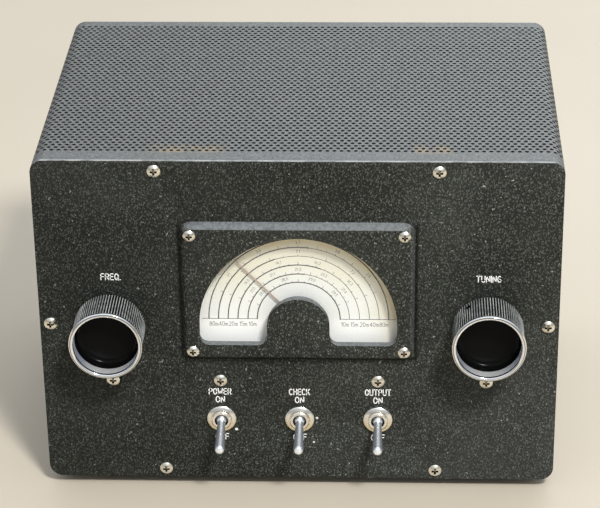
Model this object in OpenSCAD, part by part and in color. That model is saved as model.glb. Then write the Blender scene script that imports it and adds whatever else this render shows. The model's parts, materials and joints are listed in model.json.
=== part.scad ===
// Bench-top radio exciter: a perforated steel cabinet, a crackle panel with a half-round dial,
// two fluted knobs and three toggle switches, on a chassis that carries the tuned circuits.
// X runs to the right, Y to the back and Z up. The origin is on the floor, under the middle.

/* [Cabinet] */
// Width of the front panel and of the cabinet
case_w = 300; // [280:1:360]
// Height of the front panel and of the cabinet, without the feet
case_h = 208; // [195:1:260]
// Depth from the panel's face to the back of the cabinet
case_d = 210; // [190:1:280]
// Outer radius of the rounded corners
corner_r = 8; // [5:0.5:12]
// Thickness of the front panel
panel_t = 2.5; // [1.6:0.1:4]
// Thickness of the cover's sheet
cover_t = 1.2; // [0.8:0.1:2]
// Width of the flanges turned in under the cover's sides
flange_w = 32; // [26:1:45]
// Width of the lip frames behind the panel and in front of the rear panel
lip_w = 12; // [10:0.5:14]
// Thickness of the lip frames
lip_t = 2; // [1.5:0.1:3]
// Thickness of the base plate
base_t = 1.2; // [0.8:0.1:2]
// Thickness of the rear panel
rear_t = 1.6; // [1:0.1:2.5]

/* [Perforation] */
// Distance between neighbouring holes of the cover
hole_pitch = 12; // [8:0.5:20]
// Diameter of the cover's holes
hole_d = 6.6; // [3:0.1:7]
// Plain strip along the cover's front edge, up to the first row's centre
front_margin = 14; // [8:0.5:24]
// Plain strip along the cover's rear edge
rear_margin = 8; // [6:0.5:20]
// Plain strip along the lower edge of the cover's sides
lower_margin = 14; // [8:0.5:30]

/* [Feet] */
// Height of the rubber feet
foot_h = 6; // [4:0.5:12]
// Diameter of the rubber feet
foot_d = 18; // [14:0.5:24]
// Distance from the cabinet's side to a foot's centre
foot_edge = 26; // [20:0.5:34]
// Distance from the panel or the back to a foot's centre
foot_end = 34; // [24:0.5:50]

/* [Dial] */
// Height of the dial's centre above the knobs' axes
dial_rise = 1.2; // [0.5:0.1:4]
// Radius of the dial window
window_r = 57; // [50:0.5:60]
// Radius of the tongue that hides the pointer's hub
tongue_r = 18; // [14:0.5:24]
// Depth of the window's legs below the dial's centre
leg_depth = 12; // [8:0.5:14]
// Radius of the lower corners of the window
leg_r = 6; // [2:0.5:8]
// Width of the dial frame where it meets the panel
frame_w = 134; // [130:0.5:142]
// Height of the dial frame where it meets the panel
frame_h = 87.5; // [85:0.5:96]
// How far the dial frame stands proud of the panel
frame_t = 5; // [4:0.5:12]
// How far the frame's sides lean in towards its face
frame_draft = 2.8; // [0.5:0.1:3]
// Corner radius of the dial frame
frame_r = 7; // [4:0.5:10]
// Distance from the frame's sides to its screws
frame_screw_inset = 6; // [5:0.1:7]
// Distance from the frame's upper and lower edges to its screws
frame_screw_drop = 6.4; // [5.5:0.1:9]
// Thickness of the clear window
glass_t = 1.5; // [1:0.1:2.5]
// How far the clear window laps behind the frame's opening
glass_lap = 2; // [1:0.1:3]
// Thickness of the dial card
card_t = 0.6; // [0.3:0.1:1.5]
// Length of the pointer
pointer_len = 53.5; // [40:0.5:54]
// Width of the pointer's needle
pointer_w = 0.4; // [0.4:0.1:2]
// Angle of the pointer at rest, to the left of upright
pointer_angle = 43; // [0:1:80]

/* [Dial drive] */
// Groove diameter of the drive spindle's pulley
pulley_d = 8; // [7.5:0.1:9]
// How many times larger the cord drum's groove is
drive_ratio = 6; // [4:0.5:7]
// Width of the cord drum
drum_t = 6; // [4:0.5:9]
// Thickness of the dial cord
cord_t = 0.8; // [0.5:0.1:1.2]

/* [Knobs] */
// Distance from the panel's side to a knob's axis
knob_edge = 41; // [36:0.5:46]
// Height of the knobs' axes above the panel's lower edge
knob_z = 103.8; // [98:0.1:116]
// Diameter of a knob's fluted barrel
knob_d = 41; // [40:0.5:42]
// Length of a knob with its ring
knob_len = 24.6; // [22:0.1:30]
// Gap between a knob and the panel
knob_gap = 3; // [2.8:0.1:6]
// Number of flutes round a knob
flute_count = 80; // [24:1:90]
// Outer diameter of the bright ring's rim
ring_d = 42.4; // [42.2:0.1:48]
// Thickness of the rim
ring_t = 2.2; // [1.5:0.1:3]
// Bore of the bright ring
ring_bore = 37.2; // [34:0.1:37.6]
// Length of the bright ring with the sleeve that lines the barrel
ring_len = 7.5; // [5:0.5:8]
// Depth of the knob's cup behind the ring
cup_depth = 6; // [4:0.5:8]
// Diameter of the shafts
shaft_d = 6; // [5:0.1:6.4]

/* [Switches] */
// Distance between neighbouring switches
switch_pitch = 46; // [36:0.5:54]
// Height of the switches above the panel's lower edge
switch_z = 41; // [36:0.5:48]
// Diameter of the dress nuts
dress_nut_d = 17; // [15:0.5:22]
// Thickness of the dress nuts
dress_nut_t = 2.4; // [1.5:0.1:3]
// Diameter of the switch bushings
bushing_d = 11.6; // [10:0.1:13]
// Bore of the switch bushings
bushing_bore = 8; // [7:0.1:8.5]
// Length of a lever from its pivot to its tip
lever_len = 25; // [18:0.5:32]
// Tilt of a lever at either end of its travel
lever_tilt = 19; // [10:0.5:20]
// Diameter of a lever at its root
lever_root_d = 4.4; // [3:0.1:4.6]
// Diameter of a lever at its tip
lever_tip_d = 6; // [5:0.1:8]

/* [Fasteners] */
// Thread diameter of the panel and chassis screws
screw_d = 4; // [3:0.1:4.5]
// Head diameter of the panel and chassis screws
screw_head_d = 7.6; // [6:0.1:9]
// Height of the screw heads
screw_head_h = 2.4; // [1.8:0.1:3.2]
// Thread diameter of the dial frame's screws
frame_screw_d = 3; // [2.5:0.1:3.4]
// Head diameter of the dial frame's screws
frame_screw_head_d = 7; // [5.5:0.1:7.4]
// Distance from the panel's edge to the edge screws
edge_inset = 6.3; // [5.5:0.1:8]
// Distance from the middle to the upper and lower edge screws
edge_screw_x = 80; // [60:1:100]

/* [Chassis] */
// Thickness of the chassis sheet
chassis_t = 1.5; // [1:0.1:2.5]
// Distance from the deck down to the row of chassis screws
chassis_screw_drop = 8; // [6:0.5:12]

/* [Tuned circuits] */
// Radius of the capacitors' moving plates
plate_r = 22; // [18:0.5:22.5]
// Thickness of the capacitors' plates
plate_t = 0.9; // [0.6:0.1:1.2]
// Distance between neighbouring moving plates
plate_pitch = 5; // [4:0.1:6]
// Number of moving plates
plate_count = 6; // [3:1:7]
// Width of the capacitors' frames
cap_w = 50; // [49:0.5:54]
// Thickness of the capacitors' end plates
cap_end_t = 2; // [1.5:0.1:3]
// Thickness of the capacitors' base
cap_base_t = 2; // [1.5:0.1:3]
// Diameter of the coil formers
former_d = 28; // [20:0.5:32]
// Height of the coil formers
former_h = 50; // [40:0.5:70]
// Thickness of the coil windings
winding_t = 1.2; // [0.6:0.1:2]
// Diameter of the tubes
tube_d = 19; // [16:0.5:22]
// Height of the tubes above their sockets
tube_h = 52; // [40:0.5:70]

/* [Power supply] */
// Width of the transformer's core
core_w = 66; // [54:0.5:80]
// Depth of the transformer's core
core_d = 38; // [26:0.5:42]
// Height of the transformer's core
core_h = 56; // [46:0.5:70]
// Diameter of the filter capacitor
can_d = 32; // [25:0.5:38]
// Height of the filter capacitor
can_h = 66; // [40:0.5:90]

/* [Rear] */
// Width of the opening in the rear panel
rear_window_w = 170; // [150:1:190]
// Height of the opening in the rear panel
rear_window_h = 38; // [32:0.5:44]
// How far the output socket reaches behind the cabinet
socket_reach = 12; // [8:0.5:20]
// Barrel diameter of the output socket
socket_d = 15.8; // [12:0.1:18]
// Diameter of the fuse holder's cap
fuse_cap_d = 15; // [12:0.5:18]
// Bore of the cord grommet
grommet_bore = 8; // [6:0.5:9]

/* [Hidden] */
$fn = 64;

// Clearances: a slide or drop-in fit, a running shaft, a screw in its hole, and past an end
fit = 0.1;
running = 0.05;
screw_clear = 0.3;
past = 1;

// Main planes
floor_z = foot_h;
knob_reach = knob_gap + knob_len;
front_y = (knob_reach - case_d - socket_reach) / 2;
panel_back = front_y + panel_t;
back_y = front_y + case_d;
rear_face = back_y - rear_t;
lip_reach = cover_t + lip_w;

// Dial stack, from the panel's back inwards
pointer_gap = 0.8;
pointer_t = 0.8;
card_gap = 1;
pointer_y = panel_back + pointer_gap;
card_y = pointer_y + pointer_t + card_gap;
back_plate_t = 1.5;
back_plate_y = card_y + card_t;
dial_bush_d = 10;
dial_bush_rim = 1.5;
dial_bush_lap = 2.5;
drum_gap = 0.6;
drum_y = back_plate_y + back_plate_t + dial_bush_rim + drum_gap;
cord_y = drum_y + drum_t / 2;

pillar_d = 5;
card_clear = 0.5;
card_margin = 4;
glass_hold = 0.5;
window_rim = 6;
plate_inset = 1.5;
plate_corner_r = 4;

// Axes
axis_z = floor_z + knob_z;
knob_x = case_w / 2 - knob_edge;
dial_z = axis_z + dial_rise;
frame_below = 22.4;
frame_mid_z = dial_z - frame_below + frame_h / 2;
dial_r = min(window_r, frame_h - frame_below - window_rim);
frame_screw_x = frame_w / 2 - frame_screw_inset;
frame_screw_z = frame_h / 2 - frame_screw_drop;

// Cord drum, and the deck that clears both the drum and the capacitors' plates
drum_d = pulley_d * drive_ratio;
groove_h = 2;
drum_rim_d = drum_d + 2 * groove_h;
plate_floor_gap = 5;
drum_floor_gap = 3;
axis_h = max(plate_r + plate_floor_gap + cap_base_t, drum_rim_d / 2 + drum_floor_gap);
deck_z = axis_z - axis_h;
chassis_gap = 1.8;
chassis_w = case_w - 2 * (lip_reach + chassis_gap);
chassis_low = floor_z + lip_reach + chassis_gap;
chassis_screw_z = deck_z - chassis_screw_drop;
switch_world_z = floor_z + switch_z;

// Panel bushes that carry the two shafts
bush_d = 9.6;
bush_rim_d = 15;
bush_rim_t = 2;
bush_nut_t = 2.2;
bush_nut_w = 14;
shaft_bore = shaft_d + 2 * running;

// Knob parts
flute_r = 0.62;
sleeve_wall = 0.6;
sleeve_d = ring_bore + 2 * sleeve_wall;
cup_step = 0.3;
cup_round = 3.5;
cup_d = ring_bore - 2 * cup_step;
bore_floor = 1.6;
shaft_end_gap = 0.5;
knob_bore = knob_len - ring_len - cup_depth - bore_floor;
shaft_front = front_y - knob_gap - knob_bore + shaft_end_gap;
grub_d = 3;
grub_len = 8;
freq_grub_angle = 150;
tuning_grub_angle = 35;

// Feet, nuts and how far a screw's end stands past what it holds
screw_tail = 2;
foot_seat = foot_h / 2;
foot_head_d = screw_head_d + 1;
nut_t = 3;
nut_w = 7;

// Switch parts
switch_pivot = 2.2;
bushing_reach = dress_nut_t + 1.2;
ball_gap = 0.8;
ball_d = bushing_bore - 2 * ball_gap;
tail_d = 2.4;
tail_len = switch_pivot + panel_t + chassis_t - 1;
switch_body = [17, 22, 30];

// Capacitors
cap_len = (plate_count + 1) * plate_pitch + 2 * cap_end_t;
cap_gap = 6;
plate_heel = shaft_d / 2 + 1;
vfo_cap_y = drum_y + drum_t + cap_gap;
tuning_cap_y = vfo_cap_y;
rod_d = 3;
rod_clear = 4;
rod_at = (plate_r + rod_d / 2 + rod_clear) / sqrt(2);
shaft_tail = 3;
bearing_bore = shaft_d + 2 * running;

// Places on the deck
tube_gap = 24;
tube_edge = 31;
tube_pitch = 42;
tube_y = vfo_cap_y + cap_len + tube_gap;
tube_x = [for (i = [0 : 2]) tube_edge + i * tube_pitch - chassis_w / 2];
socket_rim_d = tube_d + 8;
socket_rim_t = 2;
socket_plug_d = tube_d + 1;
socket_plug_h = 8;
coil_y = vfo_cap_y + cap_len / 2;
former_foot = 3;
former_lap = 4;
former_wall = 2.5;
winding_share = 0.6;
vfo_coil_x = -knob_x / 2;
output_coil_x = knob_x / 2;
rear_row_gap = 54;
transformer_edge = 69;
filter_edge = 43;
rear_row_y = rear_face - rear_row_gap;
transformer_x = chassis_w / 2 - transformer_edge;
filter_x = filter_edge - chassis_w / 2;

// Transformer core, with legs a sixth of its width
leg_w = core_w / 6;
core_window_h = core_h - 2 * leg_w;

// Rear apron
rear_window_z = (deck_z + chassis_low) / 2;
rear_screw_gap = 16;
socket_x = -56;
fuse_x = 4;
grommet_x = 56;
socket_plug = 11;
socket_wall = 2;
socket_tail = 6;
socket_lap = 4;
fuse_body_d = 12;
fuse_tail = 26;
fuse_lap = 2;
fuse_reach = 7.2;
grommet_wall = 3;
grommet_lap = 2.5;
grommet_neck = grommet_bore + 2 * grommet_wall;

// A rectangle with rounded corners, centred
module rounded(w, h, r) {
    square([w - 2 * r, h], center = true);
    square([w, h - 2 * r], center = true);
    for (sx = [-1, 1], sy = [-1, 1])
        translate([sx * (w / 2 - r), sy * (h / 2 - r)])
            circle(r = r);
}

// Stands a flat outline upright: its X stays X, its Y becomes Z, and it fills Y from y to y + t
module upright(y, t) {
    translate([0, y + t, 0])
        rotate([90, 0, 0])
            linear_extrude(t)
                children();
}

// Turns a piece that is modelled along Z so that it faces the front, with its seat at a point
module facing(x, y, z) {
    translate([x, y, z])
        rotate([90, 0, 0])
            children();
}

// The same, facing the back
module facing_back(x, y, z) {
    translate([x, y, z])
        rotate([-90, 0, 0])
            children();
}

// A round bar along Y
module bar(x, z, y0, y1, d) {
    facing_back(x, y0, z)
        cylinder(d = d, h = y1 - y0);
}

// Places one child at each screw of a set, on the plane y
module at_edge_screws(y) {
    mid = floor_z + case_h / 2;
    for (sx = [-1, 1]) {
        for (sz = [-1, 1])
            facing(sx * edge_screw_x, y, mid + sz * (case_h / 2 - edge_inset))
                children();
        facing(sx * (case_w / 2 - edge_inset), y, mid)
            children();
    }
}

module at_chassis_screws(y) {
    for (x = [-knob_x, -switch_pitch, switch_pitch, knob_x])
        facing(x, y, chassis_screw_z)
            children();
}

module at_frame_screws(y) {
    for (sx = [-1, 1], sz = [-1, 1])
        facing(sx * frame_screw_x, y, frame_mid_z + sz * frame_screw_z)
            children();
}

module at_switches(y) {
    for (i = [-1 : 1])
        facing(i * switch_pitch, y, switch_world_z)
            children();
}

module at_feet(z) {
    for (sx = [-1, 1], y = [front_y + foot_end, back_y - foot_end])
        translate([sx * (case_w / 2 - foot_edge), y, z])
            children();
}

module at_rear_chassis_screws(y) {
    for (sx = [-1, 1])
        facing(sx * (rear_window_w / 2 + rear_screw_gap), y, rear_window_z)
            children();
}

// A screw with a domed head on its seat, z = 0, a shank below it and a cross recess
module pan_screw(d, head_d, head_h, len) {
    rim = head_h * 0.4;
    dome = head_h - rim;
    dome_r = (pow(head_d / 2, 2) + dome * dome) / (2 * dome);
    recess_w = head_d * 0.17;
    recess_len = head_d * 0.52;
    recess_depth = head_h * 0.6;
    difference() {
        union() {
            rotate_extrude()
                intersection() {
                    translate([0, head_h - dome_r])
                        circle(r = dome_r, $fn = 96);
                    square([head_d / 2, head_h]);
                }
            translate([0, 0, -len])
                cylinder(d = d, h = len + rim);
        }
        for (a = [0, 90])
            rotate(a)
                translate([-recess_len / 2, -recess_w / 2, head_h - recess_depth])
                    cube([recess_len, recess_w, head_h]);
    }
}

// A hexagon nut with its lower face on z = 0
module hex_nut(width, t, bore) {
    difference() {
        cylinder(d = width / cos(30), h = t, $fn = 6);
        translate([0, 0, -past])
            cylinder(d = bore, h = t + 2 * past);
    }
}

// The dial window: a half ring with two legs, grown by g on every side
module window_outline(g) {
    r = dial_r + g;
    inner = tongue_r - g;
    depth = leg_depth + g;
    c = leg_r + g / 2;
    difference() {
        intersection() {
            circle(r = r, $fn = 96);
            translate([-r, 0])
                square([2 * r, r]);
        }
        circle(r = inner);
    }
    for (sx = [-1, 1])
        translate([sx * (r + inner) / 2, 0])
            leg_outline(r - inner, depth, c);
}

// One leg of the window, hanging down from y = 0
module leg_outline(w, depth, c) {
    translate([-w / 2, c - depth])
        square([w, depth - c]);
    translate([c - w / 2, -depth])
        square([w - 2 * c, depth]);
    for (sx = [-1, 1])
        translate([sx * (w / 2 - c), c - depth])
            circle(r = c);
}

// Cabinet

module front_panel() {
    color("#2b2b29")
        difference() {
            upright(front_y, panel_t)
                difference() {
                    translate([0, floor_z + case_h / 2])
                        rounded(case_w, case_h, corner_r);
                    translate([0, dial_z])
                        window_outline(glass_lap - glass_hold);
                }
            at_edge_screws(panel_back + past)
                cylinder(d = screw_d + screw_clear, h = panel_t + 2 * past);
            at_chassis_screws(panel_back + past)
                cylinder(d = screw_d + screw_clear, h = panel_t + 2 * past);
            at_frame_screws(panel_back + past)
                cylinder(d = frame_screw_d + screw_clear, h = panel_t + 2 * past);
            at_switches(panel_back + past)
                cylinder(d = bushing_d + 2 * fit, h = panel_t + 2 * past);
            for (sx = [-1, 1])
                facing(sx * knob_x, panel_back + past, axis_z)
                    cylinder(d = bush_d + 2 * fit, h = panel_t + 2 * past);
        }
}

// A flat stretch of the cover with staggered holes, len across and depth to the back
module perforated_sheet(len, depth, margin) {
    row_pitch = hole_pitch * sqrt(3) / 2;
    first_row = front_margin - panel_t;
    rows = floor((depth - first_row - rear_margin) / row_pitch);
    columns = floor((len - hole_d - 2 * margin) / hole_pitch);
    difference() {
        translate([-len / 2, 0])
            square([len, depth]);
        for (row = [0 : rows])
            for (column = [0 : columns - row % 2])
                translate([
                    (column - (columns - row % 2) / 2) * hole_pitch,
                    first_row + row * row_pitch
                ])
                    circle(d = hole_d, $fn = 24);
    }
}

module perforated_cover() {
    depth = back_y - panel_back;
    mid_z = floor_z + case_h / 2;
    lap = 0.5;
    plain = 2;
    top_len = case_w - 2 * (corner_r + plain);
    side_len = case_h - 2 * corner_r - plain - lower_margin;
    side_mid_z = mid_z + (lower_margin - plain) / 2;
    color("#3c3c3a")
        union() {
            difference() {
                upright(panel_back, depth)
                    difference() {
                        translate([0, mid_z])
                            rounded(case_w, case_h, corner_r);
                        translate([0, mid_z])
                            rounded(case_w - 2 * cover_t, case_h - 2 * cover_t, corner_r - cover_t);
                        translate([0, floor_z])
                            square([case_w - 2 * (corner_r + flange_w), 4 * cover_t], center = true);
                        translate([0, floor_z + case_h])
                            square([top_len - 2 * lap, 4 * cover_t], center = true);
                        for (sx = [-1, 1])
                            translate([sx * case_w / 2, side_mid_z])
                                square([4 * cover_t, side_len - 2 * lap], center = true);
                    }
                at_feet(floor_z - past)
                    cylinder(d = screw_d + screw_clear, h = cover_t + 2 * past);
            }
            translate([0, panel_back, floor_z + case_h - cover_t])
                linear_extrude(cover_t)
                    perforated_sheet(top_len, depth, plain);
            for (x = [-case_w / 2, case_w / 2 - cover_t])
                translate([x, panel_back, side_mid_z])
                    multmatrix([[0, 0, 1, 0], [0, 1, 0, 0], [-1, 0, 0, 0], [0, 0, 0, 1]])
                        linear_extrude(cover_t)
                            perforated_sheet(side_len, depth, plain);
        }
}

// A flat ring inside the cover that the panel or the rear panel is screwed to
module lip_frame(y) {
    difference() {
        upright(y, lip_t)
            translate([0, floor_z + case_h / 2])
                difference() {
                    rounded(
                        case_w - 2 * (cover_t + fit),
                        case_h - 2 * (cover_t + fit),
                        corner_r - cover_t
                    );
                    rounded(case_w - 2 * lip_reach, case_h - 2 * lip_reach, corner_r / 4);
                }
        at_edge_screws(y + lip_t + past)
            cylinder(d = screw_d + 2 * fit, h = lip_t + 2 * past);
    }
}

module front_lip() {
    color("#4a4a48")
        lip_frame(panel_back);
}

module rear_lip() {
    color("#4a4a48")
        lip_frame(rear_face - lip_t);
}

module base_plate() {
    y0 = panel_back + lip_t + fit;
    y1 = rear_face - lip_t - fit;
    w = case_w - 2 * corner_r - 2 * fit;
    slot_w = 4;
    slot_len = (y1 - y0) / 2;
    slots = 9;
    slot_pitch = 16;
    color("#4a4a48")
        difference() {
            translate([-w / 2, y0, floor_z + cover_t])
                cube([w, y1 - y0, base_t]);
            at_feet(floor_z)
                cylinder(d = screw_d + screw_clear, h = cover_t + base_t + past);
            for (i = [0 : slots - 1])
                translate([(i - (slots - 1) / 2) * slot_pitch, (y0 + y1) / 2, floor_z])
                    linear_extrude(cover_t + base_t + past)
                        slot_outline(slot_w, slot_len);
        }
}

// A slot with round ends along Y, centred
module slot_outline(w, len) {
    square([w, len - w], center = true);
    for (s = [-1, 1])
        translate([0, s * (len - w) / 2])
            circle(d = w);
}

module rear_panel() {
    slot_w = 4;
    slot_len = 42;
    slots = 13;
    slot_pitch = 14;
    window_corner_r = 3;
    slots_z = (deck_z + floor_z + case_h) / 2;
    color("#2f2f2d")
        difference() {
            upright(rear_face, rear_t)
                difference() {
                    translate([0, floor_z + case_h / 2])
                        rounded(
                            case_w - 2 * (cover_t + fit),
                            case_h - 2 * (cover_t + fit),
                            corner_r - cover_t
                        );
                    translate([0, rear_window_z])
                        rounded(rear_window_w, rear_window_h, window_corner_r);
                    for (i = [0 : slots - 1])
                        translate([(i - (slots - 1) / 2) * slot_pitch, slots_z])
                            slot_outline(slot_w, slot_len);
                }
            at_edge_screws(back_y + past)
                cylinder(d = screw_d + screw_clear, h = rear_t + 2 * past);
            at_rear_chassis_screws(back_y + past)
                cylinder(d = screw_d + screw_clear, h = rear_t + 2 * past);
        }
}

// Feet

module rubber_feet() {
    edge = 1;
    color("#1c1c1b")
        at_feet(0)
            difference() {
                rotate_extrude()
                    polygon([
                        [0, 0],
                        [foot_d / 2 - edge, 0],
                        [foot_d / 2, edge],
                        [foot_d / 2, foot_h],
                        [0, foot_h]
                    ]);
                translate([0, 0, -past])
                    cylinder(d = foot_head_d, h = foot_seat + past);
                translate([0, 0, -past])
                    cylinder(d = screw_d + screw_clear, h = foot_h + 2 * past);
            }
}

module foot_screws() {
    color("silver")
        at_feet(foot_seat)
            mirror([0, 0, 1])
                pan_screw(
                    screw_d, screw_head_d, screw_head_h,
                    foot_h - foot_seat + cover_t + base_t + nut_t + past
                );
}

module foot_nuts() {
    color("silver")
        at_feet(floor_z + cover_t + base_t)
            hex_nut(nut_w, nut_t, screw_d + 2 * fit);
}

// Fasteners

module panel_screws() {
    color("silver")
        at_edge_screws(front_y)
            pan_screw(screw_d, screw_head_d, screw_head_h, panel_t + lip_t + screw_tail);
}

module chassis_screws() {
    color("silver")
        at_chassis_screws(front_y)
            pan_screw(screw_d, screw_head_d, screw_head_h, panel_t + chassis_t + nut_t + past);
}

module chassis_nuts() {
    color("silver")
        at_chassis_screws(panel_back + chassis_t + nut_t)
            hex_nut(nut_w, nut_t, screw_d + 2 * fit);
}

module rear_screws() {
    color("silver") {
        at_edge_screws(back_y)
            mirror([0, 0, 1])
                pan_screw(screw_d, screw_head_d, screw_head_h, rear_t + lip_t + screw_tail);
        at_rear_chassis_screws(back_y)
            mirror([0, 0, 1])
                pan_screw(screw_d, screw_head_d, screw_head_h, rear_t + chassis_t + screw_tail);
    }
}

// Chassis

module chassis() {
    depth = rear_face - panel_back;
    color("#b9bbbd")
        difference() {
            translate([-chassis_w / 2, panel_back, chassis_low])
                cube([chassis_w, depth, deck_z - chassis_low]);
            translate([chassis_t - chassis_w / 2, panel_back + chassis_t, chassis_low - past])
                cube([
                    chassis_w - 2 * chassis_t,
                    depth - 2 * chassis_t,
                    deck_z - chassis_low - chassis_t + past
                ]);
            at_chassis_screws(panel_back + chassis_t + past)
                cylinder(d = screw_d + screw_clear, h = chassis_t + 2 * past);
            at_switches(panel_back + chassis_t + past)
                cylinder(d = bushing_d + 2 * fit, h = chassis_t + 2 * past);
            at_rear_chassis_screws(rear_face + past)
                cylinder(d = screw_d + 2 * fit, h = chassis_t + 2 * past);
            for (x = tube_x)
                translate([x, tube_y, deck_z - chassis_t - past])
                    cylinder(d = socket_plug_d + 2 * fit, h = chassis_t + 2 * past);
            facing(socket_x, rear_face + past, rear_window_z)
                cylinder(d = socket_plug, h = chassis_t + 2 * past);
            facing(fuse_x, rear_face + past, rear_window_z)
                cylinder(d = fuse_body_d + 2 * fit, h = chassis_t + 2 * past);
            facing(grommet_x, rear_face + past, rear_window_z)
                cylinder(d = grommet_neck + 2 * fit, h = chassis_t + 2 * past);
        }
}

// Dial

// The frame's outline at a height above the panel, drawn in as the sides lean and round over
module frame_slice(inset, z) {
    skin = 0.02;
    translate([0, 0, z])
        linear_extrude(skin)
            rounded(frame_w - 2 * inset, frame_h - 2 * inset, frame_r - inset / 2, $fn = 32);
}

module dial_frame() {
    shoulder = 0.4;
    brow = 0.6;
    skin = 0.02;
    color("#2b2b29")
        difference() {
            facing(0, front_y, frame_mid_z)
                hull() {
                    frame_slice(0, 0);
                    frame_slice(frame_draft * shoulder, frame_t - frame_draft);
                    frame_slice(frame_draft * brow, frame_t - frame_draft * shoulder);
                    frame_slice(frame_draft, frame_t - skin);
                }
            upright(front_y - frame_t - past, frame_t + 2 * past)
                translate([0, dial_z])
                    window_outline(0);
            upright(front_y - glass_t - fit, glass_t + fit + past)
                translate([0, dial_z])
                    window_outline(glass_lap + fit);
            at_frame_screws(front_y + past)
                cylinder(d = frame_screw_d + screw_clear, h = frame_t + 2 * past);
        }
}

module dial_frame_screws() {
    color("silver")
        at_frame_screws(front_y - frame_t)
            pan_screw(
                frame_screw_d, frame_screw_head_d, screw_head_h,
                frame_t + back_plate_y + back_plate_t - front_y
            );
}

module dial_window() {
    color([0.9, 0.95, 0.95, 0.3])
        upright(front_y - glass_t, glass_t)
            translate([0, dial_z])
                window_outline(glass_lap);
}

module dial_card() {
    half_w = frame_screw_x - pillar_d / 2 - card_clear;
    below = leg_depth + card_margin;
    above = dial_r + card_margin;
    color("#e6e0cc")
        upright(card_y, card_t)
            difference() {
                translate([-half_w, dial_z - below])
                    square([2 * half_w, below + above]);
                translate([0, dial_z])
                    circle(d = dial_bush_d + 2 * fit);
            }
}

module dial_pillars() {
    color("silver")
        at_frame_screws(back_plate_y)
            difference() {
                cylinder(d = pillar_d, h = back_plate_y - panel_back);
                translate([0, 0, -past])
                    cylinder(d = frame_screw_d + 2 * fit, h = back_plate_y - panel_back + 2 * past);
            }
}

module dial_back_plate() {
    w = frame_w - 2 * plate_inset;
    h = frame_h - 2 * plate_inset;
    color("#b9bbbd")
        difference() {
            upright(back_plate_y, back_plate_t)
                difference() {
                    translate([0, frame_mid_z])
                        rounded(w, h, plate_corner_r);
                    translate([0, dial_z])
                        circle(d = dial_bush_d + 2 * fit);
                }
            at_frame_screws(back_plate_y + back_plate_t + past)
                cylinder(d = frame_screw_d + 2 * fit, h = back_plate_t + 2 * past);
        }
}

module dial_bush() {
    rim_d = dial_bush_d + 2 * dial_bush_lap;
    color("#b08d4a")
        difference() {
            union() {
                bar(0, dial_z, card_y, back_plate_y + back_plate_t + dial_bush_rim, dial_bush_d);
                bar(
                    0, dial_z,
                    back_plate_y + back_plate_t,
                    back_plate_y + back_plate_t + dial_bush_rim,
                    rim_d
                );
            }
            bar(0, dial_z, card_y - past, drum_y, shaft_bore);
        }
}

module dial_pointer() {
    hub_d = 13;
    color("#8c3a24")
        upright(pointer_y, pointer_t)
            translate([0, dial_z])
                difference() {
                    union() {
                        circle(d = hub_d);
                        rotate(pointer_angle)
                            polygon([
                                [-pointer_w, 0],
                                [pointer_w, 0],
                                [pointer_w / 2, pointer_len],
                                [-pointer_w / 2, pointer_len]
                            ]);
                    }
                    circle(d = shaft_d + 2 * running);
                }
}

module cord_drum() {
    web_t = 2;
    hub_d = shaft_d + 9;
    window_at = drum_d / 4 + hub_d / 4;
    window_d = drum_d / 2 - hub_d / 2 - 5;
    flange = (drum_t - 2 * cord_t - 1) / 2;
    color("#8f9194")
        facing_back(0, drum_y, dial_z)
            difference() {
                rotate_extrude()
                    difference() {
                        square([drum_rim_d / 2, drum_t]);
                        translate([drum_d / 2, flange])
                            square([drum_d, drum_t - 2 * flange]);
                        translate([hub_d / 2, web_t])
                            square([drum_d / 2 - hub_d / 2 - 2, drum_t]);
                    }
                translate([0, 0, -past])
                    cylinder(d = shaft_d + 2 * running, h = drum_t + 2 * past);
                for (i = [0 : 4])
                    rotate(i * 72)
                        translate([window_at, 0, -past])
                            cylinder(d = window_d, h = web_t + 2 * past);
            }
}

// Points along an arc, of radius r about [x, 0]
function arc_points(x, r, from, to, steps) = [
    for (i = [0 : steps])
        let (a = from + (to - from) * i / steps)
            [x + r * cos(a), r * sin(a)]
];

// The outline round two circles, of radius big and small, that lie span apart along X
module belt_outline(big, small, span) {
    lean = acos((big - small) / span);
    polygon(concat(
        arc_points(0, big, lean, 360 - lean, 40),
        arc_points(span, small, -lean, lean, 16)
    ));
}

module dial_cord() {
    slack = 0.3;
    span = norm([knob_x, dial_rise]);
    tilt = 180 + atan2(dial_rise, knob_x);
    big = drum_d / 2 + slack;
    small = pulley_d / 2 + slack;
    color("#d8d2c0")
        upright(cord_y - cord_t / 2, cord_t)
            translate([0, dial_z])
                rotate(tilt)
                    difference() {
                        belt_outline(big + cord_t, small + cord_t, span);
                        belt_outline(big, small, span);
                    }
}

// Shafts and bushes

module panel_bushes() {
    barrel_back = panel_back + bush_rim_t + 1;
    color("#b08d4a")
        for (sx = [-1, 1])
            difference() {
                union() {
                    bar(sx * knob_x, axis_z, front_y - bush_nut_t, barrel_back, bush_d);
                    bar(sx * knob_x, axis_z, panel_back, panel_back + bush_rim_t, bush_rim_d);
                }
                bar(sx * knob_x, axis_z, front_y - knob_gap, barrel_back + past, shaft_bore);
            }
}

module bush_nuts() {
    color("silver")
        for (sx = [-1, 1])
            facing(sx * knob_x, front_y, axis_z)
                hex_nut(bush_nut_w, bush_nut_t, bush_d + 2 * fit);
}

module drive_spindle() {
    rim = pulley_d + 2 * groove_h;
    flange = 1;
    groove = drum_t - 2 * flange;
    color("#9a9c9f")
        union() {
            bar(-knob_x, axis_z, shaft_front, cord_y + drum_t / 2 + past, shaft_d);
            bar(-knob_x, axis_z, cord_y - drum_t / 2, cord_y + drum_t / 2, pulley_d);
            for (s = [-1, 1])
                translate([0, s * (groove + flange) / 2, 0])
                    bar(-knob_x, axis_z, cord_y - flange / 2, cord_y + flange / 2, rim);
        }
}

// Knobs

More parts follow.
